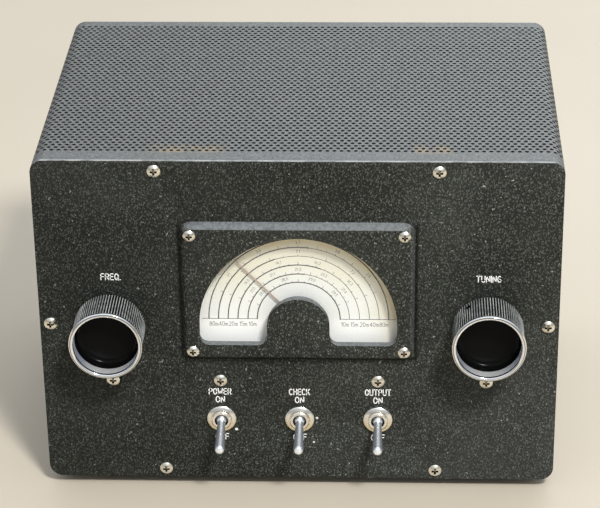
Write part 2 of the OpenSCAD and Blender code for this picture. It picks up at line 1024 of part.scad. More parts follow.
// A fluted barrel, lined at its front by the ring, with a deep cup and a blind shaft bore. It faces +Z
module knob_body(grub_angle) {
    seat = knob_len - ring_len;
    difference() {
        linear_extrude(knob_len - ring_t)
            difference() {
                circle(d = knob_d, $fn = 96);
                for (i = [0 : flute_count - 1])
                    rotate(360 / flute_count * i)
                        translate([knob_d / 2 + flute_r / 4, 0])
                            circle(r = flute_r, $fn = 16);
            }
        translate([0, 0, seat])
            cylinder(d = sleeve_d + 2 * fit, h = ring_len, $fn = 96);
        translate([0, 0, seat - cup_depth])
            rotate_extrude($fn = 96)
                polygon(concat(
                    [[0, 0]],
                    [
                        for (p = arc_points(cup_d / 2 - cup_round, cup_round, -90, 0, 8))
                            [p[0], cup_round + p[1]]
                    ],
                    [[cup_d / 2, cup_depth + past], [0, cup_depth + past]]
                ));
        translate([0, 0, -past])
            cylinder(d = shaft_bore, h = knob_bore + past);
        translate([0, 0, knob_bore / 2])
            rotate([0, 0, grub_angle])
                rotate([-90, 0, 0])
                    cylinder(d = grub_d + 2 * fit, h = knob_d);
    }
}

// The bright ring: a rim on the barrel's end, and a sleeve inside the barrel
module knob_ring() {
    half = (ring_d - ring_bore) / 4;
    bore = ring_bore / 2;
    rim = ring_len - ring_t;
    edge = 0.4;
    bow = [
        for (p = arc_points(0, half, 0, 180, 10))
            [bore + half + p[0], ring_len - half + p[1]]
    ];
    translate([0, 0, knob_len - ring_len])
        rotate_extrude($fn = 96)
            polygon(concat(
                [
                    [bore, 0],
                    [sleeve_d / 2, 0],
                    [sleeve_d / 2, rim],
                    [bore + 2 * half - edge, rim],
                    [bore + 2 * half, rim + edge]
                ],
                bow
            ));
}

module grub_screw(angle) {
    slot_w = 0.6;
    translate([0, 0, knob_bore / 2])
        rotate([0, 0, angle])
            rotate([-90, 0, 0])
                translate([0, 0, shaft_d / 2 + running])
                    difference() {
                        cylinder(d = grub_d, h = grub_len);
                        translate([-grub_d, -slot_w / 2, grub_len - 1])
                            cube([2 * grub_d, slot_w, 2]);
                    }
}

module freq_knob() {
    color("#151514")
        facing(-knob_x, front_y - knob_gap, axis_z)
            knob_body(freq_grub_angle);
}

module freq_ring() {
    color("#d9dadb")
        facing(-knob_x, front_y - knob_gap, axis_z)
            knob_ring();
}

module freq_grub_screw() {
    color("silver")
        facing(-knob_x, front_y - knob_gap, axis_z)
            grub_screw(freq_grub_angle);
}

module tuning_knob() {
    color("#151514")
        facing(knob_x, front_y - knob_gap, axis_z)
            knob_body(tuning_grub_angle);
}

module tuning_ring() {
    color("#d9dadb")
        facing(knob_x, front_y - knob_gap, axis_z)
            knob_ring();
}

module tuning_grub_screw() {
    color("silver")
        facing(knob_x, front_y - knob_gap, axis_z)
            grub_screw(tuning_grub_angle);
}

// Variable capacitors, with their shaft along Y through a point and their front plate at y

module cap_frame(x, y, z) {
    height = z - deck_z;
    above = plate_r - 2;
    color("#a3a5a8")
        difference() {
            union() {
                for (end = [0, cap_len - cap_end_t])
                    translate([x - cap_w / 2, y + end, deck_z])
                        cube([cap_w, cap_end_t, height + above]);
                translate([x - cap_w / 2, y, deck_z])
                    cube([cap_w, cap_len, height - plate_r - plate_floor_gap]);
            }
            bar(x, z, y - past, y + cap_len + past, bearing_bore);
        }
}

module cap_stator(x, y, z) {
    inside = cap_len - 2 * cap_end_t;
    low = plate_r + 1;
    notch = shaft_d / 2 + 3;
    color("#c9cbcd")
        union() {
            for (i = [0 : plate_count])
                upright(y + cap_end_t + (i + 0.5) * plate_pitch - plate_t / 2, plate_t)
                    translate([x, z])
                        difference() {
                            translate([-low, -low])
                                square([2 * low, low - 1]);
                            circle(r = notch);
                        }
            for (sx = [-1, 1])
                bar(x + sx * rod_at, z - rod_at, y + cap_end_t, y + cap_end_t + inside, rod_d);
        }
}

// The shaft with its half-round plates, from the front end at y0
module cap_rotor(x, y, z, y0, angle) {
    color("#d2d4d6")
        union() {
            bar(x, z, y0, y + cap_len + shaft_tail, shaft_d);
            for (i = [1 : plate_count])
                upright(y + cap_end_t + i * plate_pitch - plate_t / 2, plate_t)
                    translate([x, z])
                        rotate(angle)
                            intersection() {
                                circle(r = plate_r);
                                translate([-plate_r, -plate_heel])
                                    square([2 * plate_r, 2 * plate_r]);
                            }
        }
}

module vfo_capacitor_frame() { cap_frame(0, vfo_cap_y, dial_z); }

module vfo_stator() { cap_stator(0, vfo_cap_y, dial_z); }

module vfo_rotor() { cap_rotor(0, vfo_cap_y, dial_z, pointer_y, pointer_angle - 90); }

module tuning_capacitor_frame() { cap_frame(knob_x, tuning_cap_y, axis_z); }

module tuning_stator() { cap_stator(knob_x, tuning_cap_y, axis_z); }

module tuning_rotor() { cap_rotor(knob_x, tuning_cap_y, axis_z, shaft_front, 0); }

// Switches

module switch_bodies() {
    color("#3a2a20")
        for (i = [-1 : 1])
            translate([
                i * switch_pitch - switch_body[0] / 2,
                panel_back + chassis_t,
                switch_world_z - switch_body[2] / 2
            ])
                cube(switch_body);
}

module switch_bushings() {
    behind = panel_t + chassis_t;
    r = bushing_d / 2;
    edge = 0.5;
    key_w = 1.6;
    key_depth = 0.9;
    color("#c4c6c8")
        at_switches(front_y)
            difference() {
                rotate_extrude()
                    polygon([
                        [bushing_bore / 2, -behind],
                        [r, -behind],
                        [r, bushing_reach - edge],
                        [r - edge, bushing_reach],
                        [bushing_bore / 2, bushing_reach]
                    ]);
                translate([-key_w / 2, r - key_depth, dress_nut_t])
                    cube([key_w, 2 * key_depth, bushing_reach]);
            }
}

// A round dress nut: a bright cone that rises from its edge to a groove round the bushing
module dress_nut() {
    slope = 25;
    edge = 0.3;
    groove = 0.6;
    r = dress_nut_d / 2;
    bore = bushing_d / 2 + fit;
    crest = bore + groove;
    rim = max(dress_nut_t / 2, dress_nut_t - (r - edge - crest) * tan(slope));
    rotate_extrude()
        polygon([
            [bore, 0],
            [r, 0],
            [r, rim - edge],
            [r - edge, rim],
            [crest, dress_nut_t],
            [crest, dress_nut_t - groove],
            [bore, dress_nut_t - groove]
        ]);
}

module switch_nuts() {
    color("#c4c6c8")
        at_switches(front_y)
            dress_nut();
}

// A bat lever with its ball at the pivot, tilted from straight out
module switch_lever(i, tilt) {
    tip_r = lever_tip_d / 2;
    root_r = lever_root_d / 2;
    color("#d0d2d4")
        facing(i * switch_pitch, front_y - switch_pivot, switch_world_z)
            rotate([tilt, 0, 0])
                rotate_extrude()
                    intersection() {
                        union() {
                            circle(d = ball_d);
                            polygon([
                                [0, 0],
                                [root_r, 0],
                                [tip_r, lever_len - tip_r],
                                [0, lever_len - tip_r]
                            ]);
                            translate([0, lever_len - tip_r])
                                circle(r = tip_r);
                            translate([0, -tail_len])
                                square([tail_d / 2, tail_len]);
                        }
                        translate([0, -lever_len])
                            square([lever_len, 3 * lever_len]);
                    }
}

module power_lever() { switch_lever(-1, lever_tilt); }

module check_lever() { switch_lever(0, lever_tilt); }

module output_lever() { switch_lever(1, lever_tilt); }

// Tubes and coils on the deck

module tube_sockets() {
    color("#2a1f18")
        for (x = tube_x)
            translate([x, tube_y, deck_z])
                union() {
                    cylinder(d = socket_rim_d, h = socket_rim_t);
                    translate([0, 0, -chassis_t - socket_plug_h])
                        cylinder(d = socket_plug_d, h = chassis_t + socket_plug_h + socket_rim_t);
                }
}

// A glass tube with a domed top and a sealed tip
module glass_tube(i) {
    r = tube_d / 2;
    tip_r = 1.8;
    tip_h = 4;
    color([0.75, 0.8, 0.82, 0.5])
        translate([tube_x[i], tube_y, deck_z + socket_rim_t])
            rotate_extrude()
                intersection() {
                    union() {
                        square([r, tube_h - r - tip_h]);
                        translate([0, tube_h - r - tip_h])
                            circle(r = r);
                        square([tip_r, tube_h]);
                    }
                    square([tube_d, tube_h]);
                }
}

module oscillator_tube() { glass_tube(0); }

module buffer_tube() { glass_tube(1); }

module output_tube() { glass_tube(2); }

module coil_former(x) {
    color("#e4e0d6")
        translate([x, coil_y, deck_z])
            difference() {
                union() {
                    cylinder(d = former_d + 2 * former_lap, h = former_foot);
                    cylinder(d = former_d, h = former_h);
                }
                translate([0, 0, former_foot])
                    cylinder(d = former_d - 2 * former_wall, h = former_h);
            }
}

module coil_winding(x) {
    len = former_h * winding_share;
    color("#b5713a")
        translate([x, coil_y, deck_z + former_foot])
            difference() {
                cylinder(d = former_d + 2 * (fit + winding_t), h = len);
                translate([0, 0, -past])
                    cylinder(d = former_d + 2 * fit, h = len + 2 * past);
            }
}

module vfo_coil_former() { coil_former(vfo_coil_x); }

module vfo_coil_winding() { coil_winding(vfo_coil_x); }

module output_coil_former() { coil_former(output_coil_x); }

module output_coil_winding() { coil_winding(output_coil_x); }

// Power supply

module filter_capacitor() {
    collar = 4;
    lap = 2;
    edge = 1.5;
    color("#c0c2c4")
        translate([filter_x, rear_row_y, deck_z])
            rotate_extrude()
                polygon([
                    [0, 0],
                    [can_d / 2 + lap, 0],
                    [can_d / 2 + lap, collar],
                    [can_d / 2, collar],
                    [can_d / 2, can_h - edge],
                    [can_d / 2 - edge, can_h],
                    [0, can_h]
                ]);
}

module transformer_core() {
    color("#54565a")
        upright(rear_row_y - core_d / 2, core_d)
            translate([transformer_x, deck_z + core_h / 2])
                difference() {
                    square([core_w, core_h], center = true);
                    for (sx = [-1, 1])
                        translate([sx * leg_w * 1.5, 0])
                            square([leg_w, core_window_h], center = true);
                }
}

module transformer_coil() {
    out = leg_w - fit;
    color("#8a6a3a")
        translate([transformer_x, rear_row_y, deck_z + core_h / 2])
            difference() {
                cube([
                    4 * leg_w - 2 * fit, core_d + 2 * out, core_window_h - 2 * fit
                ], center = true);
                cube([2 * leg_w + 2 * fit, core_d + 2 * fit, core_h], center = true);
            }
}

// Rear apron

module output_socket() {
    side = socket_d + 2 * socket_lap;
    rim = 2;
    color("#c4c6c8")
        facing_back(socket_x, rear_face, rear_window_z)
            difference() {
                union() {
                    translate([-side / 2, -side / 2, 0])
                        cube([side, side, rim]);
                    cylinder(d = socket_d, h = rear_t + socket_reach);
                    translate([0, 0, -chassis_t - socket_tail])
                        cylinder(d = socket_plug - 2 * fit, h = chassis_t + socket_tail + rim);
                }
                translate([0, 0, rear_t + socket_wall])
                    cylinder(d = socket_d - 2 * socket_wall, h = socket_reach);
            }
}

module fuse_holder() {
    rim = 2.5;
    color("#161615")
        facing_back(fuse_x, rear_face, rear_window_z)
            union() {
                cylinder(d = fuse_cap_d + 2 * fuse_lap, h = rim);
                cylinder(d = fuse_cap_d, h = rear_t + fuse_reach);
                translate([0, 0, -chassis_t - fuse_tail])
                    cylinder(d = fuse_body_d, h = chassis_t + fuse_tail + rim);
            }
}

module cord_grommet() {
    rim_d = grommet_neck + 2 * grommet_lap;
    rim = 2;
    color("#1c1c1b")
        facing_back(grommet_x, rear_face, rear_window_z)
            rotate_extrude()
                polygon([
                    [grommet_bore / 2, -chassis_t - rim],
                    [rim_d / 2, -chassis_t - rim],
                    [rim_d / 2, -chassis_t],
                    [grommet_neck / 2, -chassis_t],
                    [grommet_neck / 2, 0],
                    [rim_d / 2, 0],
                    [rim_d / 2, rim],
                    [grommet_bore / 2, rim]
                ]);
}

front_panel();
perforated_cover();
front_lip();
rear_lip();
base_plate();
rear_panel();
rubber_feet();
foot_screws();
foot_nuts();
panel_screws();
chassis_screws();
chassis_nuts();
rear_screws();
chassis();
dial_frame();
dial_frame_screws();
dial_window();
dial_card();
dial_pillars();
dial_back_plate();
dial_bush();
dial_cord();
panel_bushes();
bush_nuts();
freq_knob();
freq_ring();
freq_grub_screw();
drive_spindle();
dial_pointer();
cord_drum();
vfo_rotor();
vfo_stator();
vfo_capacitor_frame();
tuning_knob();
tuning_ring();
tuning_grub_screw();
tuning_rotor();
tuning_stator();
tuning_capacitor_frame();
switch_bodies();
switch_bushings();
switch_nuts();
power_lever();
check_lever();
output_lever();
tube_sockets();
oscillator_tube();
buffer_tube();
output_tube();
vfo_coil_former();
vfo_coil_winding();
output_coil_former();
output_coil_winding();
filter_capacitor();
transformer_core();
transformer_coil();
output_socket();
fuse_holder();
cord_grommet();
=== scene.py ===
# %% [markdown]
# This lesson dresses a bench-top radio exciter: a cabinet with a perforated wrap, a black crackle panel, a
# half-round dial, two fluted knobs with bright rings and three toggle switches. The solids come from CAD
# and stay where they are. Blender adds what CAD leaves out: finishes, the fine perforation, the printed
# dial and the lettering. Lengths are in metres, but the sheet is laid out in millimetres, and so is every
# value whose name ends in MM.

# %% Load the fixed frame
import json
import math

import bpy
import numpy as np
from mathutils import Matrix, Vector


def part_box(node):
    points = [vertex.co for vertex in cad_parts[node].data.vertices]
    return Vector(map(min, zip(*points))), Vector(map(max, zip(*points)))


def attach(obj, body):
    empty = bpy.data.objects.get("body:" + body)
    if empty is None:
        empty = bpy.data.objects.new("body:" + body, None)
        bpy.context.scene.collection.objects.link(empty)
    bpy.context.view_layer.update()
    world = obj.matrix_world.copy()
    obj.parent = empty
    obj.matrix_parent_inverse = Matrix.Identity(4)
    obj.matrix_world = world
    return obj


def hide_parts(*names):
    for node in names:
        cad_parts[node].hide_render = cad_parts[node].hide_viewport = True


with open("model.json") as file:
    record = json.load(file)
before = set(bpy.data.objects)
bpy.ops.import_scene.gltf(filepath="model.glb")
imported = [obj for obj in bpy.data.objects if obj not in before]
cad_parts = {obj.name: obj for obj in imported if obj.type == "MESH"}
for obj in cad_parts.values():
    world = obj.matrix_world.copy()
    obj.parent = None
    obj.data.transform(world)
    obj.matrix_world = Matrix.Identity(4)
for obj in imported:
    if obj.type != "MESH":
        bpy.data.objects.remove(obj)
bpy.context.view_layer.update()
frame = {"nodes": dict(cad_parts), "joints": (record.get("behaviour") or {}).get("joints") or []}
NODES = frame["nodes"]
MM = 0.001

# %% [markdown]
# The camera repeats the photograph's viewing angle. A camera can be placed by eye, but a fit is steadier:
# the edges of the panel and the cover were matched to the picture, which gives the focal length in pixels,
# three angles and a place. Blender wants a lens in millimetres on a 36 mm sensor and a matrix.

# %% Camera at the photograph's angle
IMAGE_WIDTH = 600
SENSOR = 36.0
FOCAL_PIXELS = 2380.1
YAW, PITCH, ROLL = -0.0433, 0.4731, 0.0136
CAMERA_PLACE = np.array([53.6, -1300.7, 772.5]) * MM


def aim(yaw, pitch, roll):
    """Camera axes as columns: right, up and backwards, from a heading, a dip and a turn about the view."""
    forward = np.array([math.sin(yaw) * math.cos(pitch), math.cos(yaw) * math.cos(pitch), -math.sin(pitch)])
    level = np.array([math.cos(yaw), -math.sin(yaw), 0.0])
    down = np.cross(forward, level)
    right = math.cos(roll) * level + math.sin(roll) * down
    lower = math.cos(roll) * down - math.sin(roll) * level
    return np.stack([right, -lower, -forward], axis=1)


lens = bpy.data.cameras.new("photo_camera")
lens.sensor_width = SENSOR
lens.lens = FOCAL_PIXELS * SENSOR / IMAGE_WIDTH
lens.clip_start, lens.clip_end = 0.05, 50.0
camera = bpy.data.objects.new("photo_camera", lens)
bpy.context.scene.collection.objects.link(camera)
pose = np.eye(4)
pose[:3, :3] = aim(YAW, PITCH, ROLL)
pose[:3, 3] = CAMERA_PLACE
camera.matrix_world = Matrix(pose.tolist())
bpy.context.scene.camera = camera
print("camera lens:", round(lens.lens, 1), "mm")

# %% [markdown]
# A mesh can be drawn vertex by vertex, but whole numpy arrays are quicker and easier to read. This helper
# takes points and quads, fills a mesh with foreach_set, and hands the object to the body it rides on.

# %% From arrays to a piece
def make_piece(name, points, quads, body, smooth=None, hides=()):
    """A mesh object from an array of points (n, 3) and an array of quads (m, 4), riding on a CAD body.

    smooth is the angle in degrees under which edges are shaded smooth, or None for flat faces.
    """
    points = np.ascontiguousarray(points, dtype=np.float32)
    quads = np.ascontiguousarray(quads, dtype=np.int32)
    mesh = bpy.data.meshes.new(name)
    mesh.vertices.add(len(points))
    mesh.vertices.foreach_set("co", points.ravel())
    mesh.loops.add(quads.size)
    mesh.loops.foreach_set("vertex_index", quads.ravel())
    mesh.polygons.add(len(quads))
    mesh.polygons.foreach_set("loop_start", np.arange(0, quads.size, 4, dtype=np.int32))
    mesh.update(calc_edges=True)
    mesh.validate()
    if smooth is not None:
        mesh.polygons.foreach_set("use_smooth", np.ones(len(mesh.polygons), dtype=bool))
        mesh.set_sharp_from_angle(angle=math.radians(smooth))
    piece = bpy.data.objects.new(name, mesh)
    bpy.context.scene.collection.objects.link(piece)
    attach(piece, body)
    if hides:
        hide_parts(*hides)
    print(name, len(mesh.vertices), "points", len(mesh.polygons), "faces")
    return piece


# %% [markdown]
# Finishes are node trees. Writing each link by hand hides the idea, so a small class does the wiring: it
# starts a finish from its colour, gloss and metal, and each of its methods adds one pattern or one step and
# hands back the output. Patterns read Object coordinates, so they stay on the part.

# %% Wiring helpers for finishes
def rgba(colour):
    """A colour, or one number for a grey, as the four numbers that Blender wants."""
    return (*colour, 1.0) if isinstance(colour, tuple) else (colour, colour, colour, 1.0)


def feed(tree, socket, value):
    """Fills an input: by a link from another socket, or with a plain value."""
    if isinstance(value, bpy.types.NodeSocket):
        tree.links.new(value, socket)
    else:
        socket.default_value = value


def add(tree, kind, inputs=None, **settings):
    """One shader node. An input is a plain value, or an output socket to link from."""
    node = tree.nodes.new("ShaderNode" + kind)
    for key, value in settings.items():
        setattr(node, key, value)
    for key, value in (inputs or {}).items():
        feed(tree, node.inputs[key], value)
    return node


class Finish:
    """A material with its Principled shader, and the patterns that paint it."""

    def __init__(self, name, colour, rough, metal=0.0, **sockets):
        """sockets sets more of the shader's own inputs by name."""
        self.material = bpy.data.materials.new(name)
        self.material.use_nodes = True
        self.material.diffuse_color = rgba(colour)
        self.tree = self.material.node_tree
        self.shader = self.tree.nodes["Principled BSDF"]
        self.tint = rgba(colour)
        plain = {"Base Color": self.tint, "Roughness": rough, "Metallic": metal, **sockets}
        for socket, value in plain.items():
            self.paint(socket.replace("_", " "), value)

    def paint(self, socket, value):
        """Feeds one of the shader's inputs, and keeps what colours it, for a later layer."""
        feed(self.tree, self.shader.inputs[socket], value)
        if socket == "Base Color":
            self.tint = value

    def coat(self, *names):
        """Gives CAD nodes this finish."""
        for name in names:
            slots = NODES[name].data.materials
            slots.clear()
            slots.append(self.material)
        print(self.material.name, "on", len(names), "nodes")

    def here(self):
        """The Object coordinates of a point, in metres."""
        return add(self.tree, "TexCoord").outputs["Object"]

    def along(self, axis):
        """One of the three Object coordinates as a number."""
        return add(self.tree, "SeparateXYZ", {"Vector": self.here()}).outputs[axis]

    def facing(self, axis):
        """How much the surface faces along an axis, from -1 to 1."""
        normal = add(self.tree, "TexCoord").outputs["Normal"]
        return add(self.tree, "SeparateXYZ", {"Vector": normal}).outputs[axis]

    def grain(self, per_metre, detail=3.0, rough=0.5):
        """Noise with about so many lumps to the metre."""
        inputs = {"Vector": self.here(), "Scale": per_metre, "Detail": detail, "Roughness": rough}
        return add(self.tree, "TexNoise", inputs).outputs["Fac"]

    def ramp(self, value, *stops):
        """A colour ramp between two (position, grey or colour) stops."""
        node = add(self.tree, "ValToRGB", {"Fac": value})
        for element, (position, colour) in zip(node.color_ramp.elements, stops):
            element.position, element.color = position, rgba(colour)
        return node.outputs["Color"]

    def fade(self, value, start, end):
        """A share that rises smoothly from 0 at start to 1 at end."""
        inputs = {"Value": value, "From Min": start, "From Max": end}
        return add(self.tree, "MapRange", inputs, interpolation_type="SMOOTHSTEP").outputs["Result"]

    def step(self, operation, first, second=0.0):
        """One arithmetic step between two numbers or sockets."""
        return add(self.tree, "Math", {0: first, 1: second}, operation=operation).outputs["Value"]

    def times(self, product, *shares):
        """The product of several shares."""
        for share in shares:
            product = self.step("MULTIPLY", product, share)
        return product

    def off(self, value, centre):
        """How far a value lies from a centre, on either side."""
        return self.step("ABSOLUTE", self.step("SUBTRACT", value, centre))

    def vector(self, operation, first, second=(0.0, 0.0, 0.0), output="Vector"):
        """One step between two vectors."""
        return add(self.tree, "VectorMath", {0: first, 1: second}, operation=operation).outputs[output]

    def between(self, share, first, second):
        """A colour that goes from first to second as share goes from 0 to 1."""
        node = add(self.tree, "Mix", data_type="RGBA")
        sockets = {s.name: s for s in node.inputs if s.enabled}
        for key, value in (("Factor", share), ("A", first), ("B", second)):
            feed(self.tree, sockets[key], rgba(value) if isinstance(value, tuple) else value)
        return next(s for s in node.outputs if s.enabled)

    def bump(self, height, strength, depth):
        """Roughens the surface by a height pattern, with a depth in metres."""
        node = add(self.tree, "Bump", {"Height": height, "Strength": strength, "Distance": depth})
        self.paint("Normal", node.outputs["Normal"])


# %% [markdown]
# CAD solids arrive as loose triangles with knife-sharp edges. Real sheet and mouldings have a small radius
# that catches the light, so a Weld joins the triangles, a Bevel rounds the edges, and an Edge Split keeps
# flats flat.

# %% Soft edges on CAD nodes
WELD = 1e-6


def soften(names, radius=0.0, segments=2, split=35.0):
    """Weld, optional Bevel of a radius in metres, and smooth shading under an angle."""
    for name in names:
        piece = NODES[name]
        faces = piece.data.polygons
        faces.foreach_set("use_smooth", np.ones(len(faces), dtype=bool))
        piece.modifiers.new("join", "WELD").merge_threshold = WELD
        if radius:
            edge = piece.modifiers.new("edge", "BEVEL")
            edge.width, edge.segments = radius, segments
            edge.limit_method, edge.angle_limit = "ANGLE", math.radians(split)
            edge.harden_normals = False
        crease = piece.modifiers.new("crease", "EDGE_SPLIT")
        crease.split_angle = math.radians(split)
    print("softened", len(names), "nodes by", radius / MM, "mm")


# %% [markdown]
# The wrap is one perforated sheet, bent over the top and down both sides. Its holes lie 4 mm apart in
# staggered rows. A texture would not let light through, and a boolean with nine thousand holes is slow. So
# the flat sheet is tiled: each cell is a rectangle with a round hole, made of twelve quads between the
# hole's twelve points and twelve points on the cell's border. Odd rows shift by half a cell, and the border
# points are a quarter cell apart, so the rows meet point to point. Then the whole flat grid is bent by one
# formula.

# %% One cell of the perforated sheet
PITCH_MM = 4.0
HOLE_MM = 2.4
ROW_MM = PITCH_MM * math.sqrt(3) / 2
SIDES = 12


def cell_outline():
    """Twelve points on a cell's border, anticlockwise from the middle of its right side, in millimetres."""
    quarter, half_row = PITCH_MM / 4, ROW_MM / 2
    u = np.array([2, 2, 1, 0, -1, -2, -2, -2, -1, 0, 1, 2]) * quarter
    v = np.array([0, 1, 1, 1, 1, 1, 0, -1, -1, -1, -1, -1]) * half_row
    return np.stack([u, v], axis=1)


def hole_outline():
    """Twelve points round the hole, at equal angles from the right."""
    angle = np.arange(SIDES) * 2 * np.pi / SIDES
    return np.stack([np.cos(angle), np.sin(angle)], axis=1) * HOLE_MM / 2


def cell_quads(centres):
    """Flat quads (n, 4, 2) of the rings round the holes at these centres."""
    rim, hole = cell_outline(), hole_outline()
    ring = np.stack([hole, rim, np.roll(rim, -1, 0), np.roll(hole, -1, 0)], axis=1)
    return (centres[:, None, None, :] + ring[None]).reshape(-1, 4, 2)


def grid_quads(u, v):
    """Flat quads (n, 4, 2) of the plain rectangle grid with these lines."""
    u0, v0 = np.meshgrid(u[:-1], v[:-1], indexing="ij")
    u1, v1 = np.meshgrid(u[1:], v[1:], indexing="ij")
    corners = [np.stack(p, axis=-1) for p in ((u0, v0), (u1, v0), (u1, v1), (u0, v1))]
    return np.stack(corners, axis=2).reshape(-1, 4, 2)


print("one cell:", len(cell_quads(np.zeros((1, 2)))), "quads")

# %% [markdown]
# The sheet's flat coordinates are u, across the wrap from the middle of the top, and v, from its front edge
# to the back. Bending leaves v alone and turns u into the rounded outline: along the top, round a bend of 8
# mm, down the side, round the lower bend and in under the cabinet. A second skin lies one sheet thickness
# inside.

# %% Bending the flat sheet
wrap_low, wrap_high = (np.array(c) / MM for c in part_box("perforated_cover"))
SHEET_MM = 1.2
BEND_MM = 8.0
FLANGE_MM = 32.0
half_top = (wrap_high[0] - wrap_low[0]) / 2 - BEND_MM
side_run = (wrap_high[2] - wrap_low[2]) - 2 * BEND_MM
BEND_RUN = BEND_MM * math.pi / 2


def bend(u, v, inset):
    """Points of the wrap: |u| runs along top, bend, side, bend and flange; inset moves inwards."""
    sign = np.where(u < 0, -1.0, 1.0)
    run = np.abs(u)
    a = np.clip(run - half_top, 0, BEND_RUN) / BEND_MM
    down = np.clip(run - half_top - BEND_RUN, 0, side_run)
    b = np.clip(run - half_top - BEND_RUN - side_run, 0, BEND_RUN) / BEND_MM
    inward = np.clip(run - half_top - 2 * BEND_RUN - side_run, 0, None)
    turn = a + b
    radius = BEND_MM - inset
    x = np.clip(run, 0, half_top) + radius * np.sin(turn) - inward
    z = wrap_high[2] - BEND_MM + radius * np.cos(turn) - down
    return np.stack([sign * x, v, z], axis=-1) * MM


print("developed width:", round(2 * (half_top + 2 * BEND_RUN + side_run + FLANGE_MM), 1), "mm")

# %% [markdown]
# The rows of holes stop short of the sheet's edges: a plain strip behind the panel, one at the back and one
# low on each side. The plain parts use the same quarter-cell lines where they meet the rows.

# %% Laying out the rows
panel_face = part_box("front_panel")[0].y / MM
front_edge, back_edge = wrap_low[1], wrap_high[1]
FRONT_STRIP, REAR_STRIP = 14.0, 8.0
FIRST_ROW = panel_face + FRONT_STRIP
rows = int((back_edge - REAR_STRIP - FIRST_ROW) / ROW_MM) // 2 * 2 + 1
columns = 166
left_end = -(columns * PITCH_MM + PITCH_MM / 2) / 2
right_end = -left_end
row_lines = FIRST_ROW - ROW_MM / 2 + ROW_MM * np.arange(rows + 1)
half_lines = np.sort(np.concatenate([row_lines, row_lines[:-1] + ROW_MM / 2]))
print("holes:", rows * columns, "in", rows, "rows")

# %% The flat sheet in four widths
SHARES = 4
BEND_LINES = 13
share_ends = np.linspace(0, columns, SHARES + 1).round().astype(int)


def hole_centres(first, last):
    """Centres of the holes in these columns, odd rows shifted by half a cell."""
    column, row = np.meshgrid(np.arange(first, last), np.arange(rows), indexing="ij")
    u = left_end + (column + 0.5 + 0.5 * (row % 2)) * PITCH_MM
    v = FIRST_ROW + row * ROW_MM
    return np.stack([u.ravel(), v.ravel()], axis=1)


def half_cells(column, first_row):
    """Plain half cells at a staggered end, in every second row."""
    u = left_end + column * PITCH_MM + np.arange(3) * PITCH_MM / 4
    return np.concatenate([grid_quads(u, half_lines[2 * r:2 * r + 3]) for r in range(first_row, rows, 2)])


def plain_strips(first, last):
    """The strips before the first row and behind the last one, between two columns that may be halves."""
    u = left_end + np.arange(int(first * 4), int(last * 4) + 1) * PITCH_MM / 4
    front = grid_quads(u, np.array([front_edge, row_lines[0]]))
    back = grid_quads(u, np.array([row_lines[-1], back_edge]))
    return np.concatenate([front, back])


def lower_strip(side):
    """The plain lower strip of one side, its bend and the flange, outwards from the last column."""
    bend_at = half_top + BEND_RUN + side_run
    bent = np.linspace(bend_at, bend_at + BEND_RUN, BEND_LINES)
    u = np.concatenate([[right_end], bent, [bend_at + BEND_RUN + FLANGE_MM]])
    quads = grid_quads(u, np.concatenate([[front_edge], half_lines, [back_edge]]))
    return quads if side > 0 else quads[:, ::-1] * np.array([-1.0, 1.0])


def share_of_sheet(share):
    """Flat quads of one quarter of the sheet, with its plain edges."""
    first, last = int(share_ends[share]), int(share_ends[share + 1])
    parts = [cell_quads(hole_centres(first, last))]
    if share == 0:
        parts += [half_cells(0, 1), lower_strip(-1)]
    if share == SHARES - 1:
        parts += [half_cells(columns, 0), lower_strip(1)]
    parts.append(plain_strips(first, last + 0.5 * (share == SHARES - 1)))
    return np.concatenate(parts)


# %% [markdown]
# A flat sheet of quads becomes a solid one by three steps. Equal points are merged, so neighbours share
# edges. Edges that only one quad uses are the rims: round every hole and along the sheet's border. Each rim
# edge gets a wall between the outer and the inner skin, which closes the solid.

# %% Thickening and placing the sheet
SNAPS_PER_MM = 500


def thicken(flat):
    """Closed sheet from flat quads (n, 4, 2): outer skin, inner skin and walls along every rim edge."""
    keys = np.round(flat.reshape(-1, 2) * SNAPS_PER_MM).astype(np.int64)
    _, first, index = np.unique(keys, axis=0, return_index=True, return_inverse=True)
    points = flat.reshape(-1, 2)[first]
    quads = index.reshape(-1, 4)
    count = len(points)
    edges = np.stack([quads, np.roll(quads, -1, 1)], axis=2).reshape(-1, 2)
    code = edges.min(1) * count + edges.max(1)
    _, where, times = np.unique(code, return_index=True, return_counts=True)
    rims = edges[where[times == 1]]
    outer = bend(points[:, 0], points[:, 1], 0.0)
    inner = bend(points[:, 0], points[:, 1], SHEET_MM)
    walls = np.stack([rims[:, 1], rims[:, 0], rims[:, 0] + count, rims[:, 1] + count], axis=1)
    skins = [quads, quads[:, ::-1] + count]
    return np.concatenate([outer, inner]), np.concatenate(skins + [walls]), len(walls)


wraps = []
for share in range(SHARES):
    points, quads, walls = thicken(share_of_sheet(share))
    hides = ("perforated_cover",) if share == 0 else ()
    name = f"perforated_wrap_{share + 1}"
    wrap = make_piece(name, points, quads, "cabinet", 30, hides)
    in_hole = np.arange(len(quads)) >= len(quads) - walls
    wrap.data.polygons.foreach_set("material_index", in_hole.astype(np.int32))
    wraps.append(wrap)
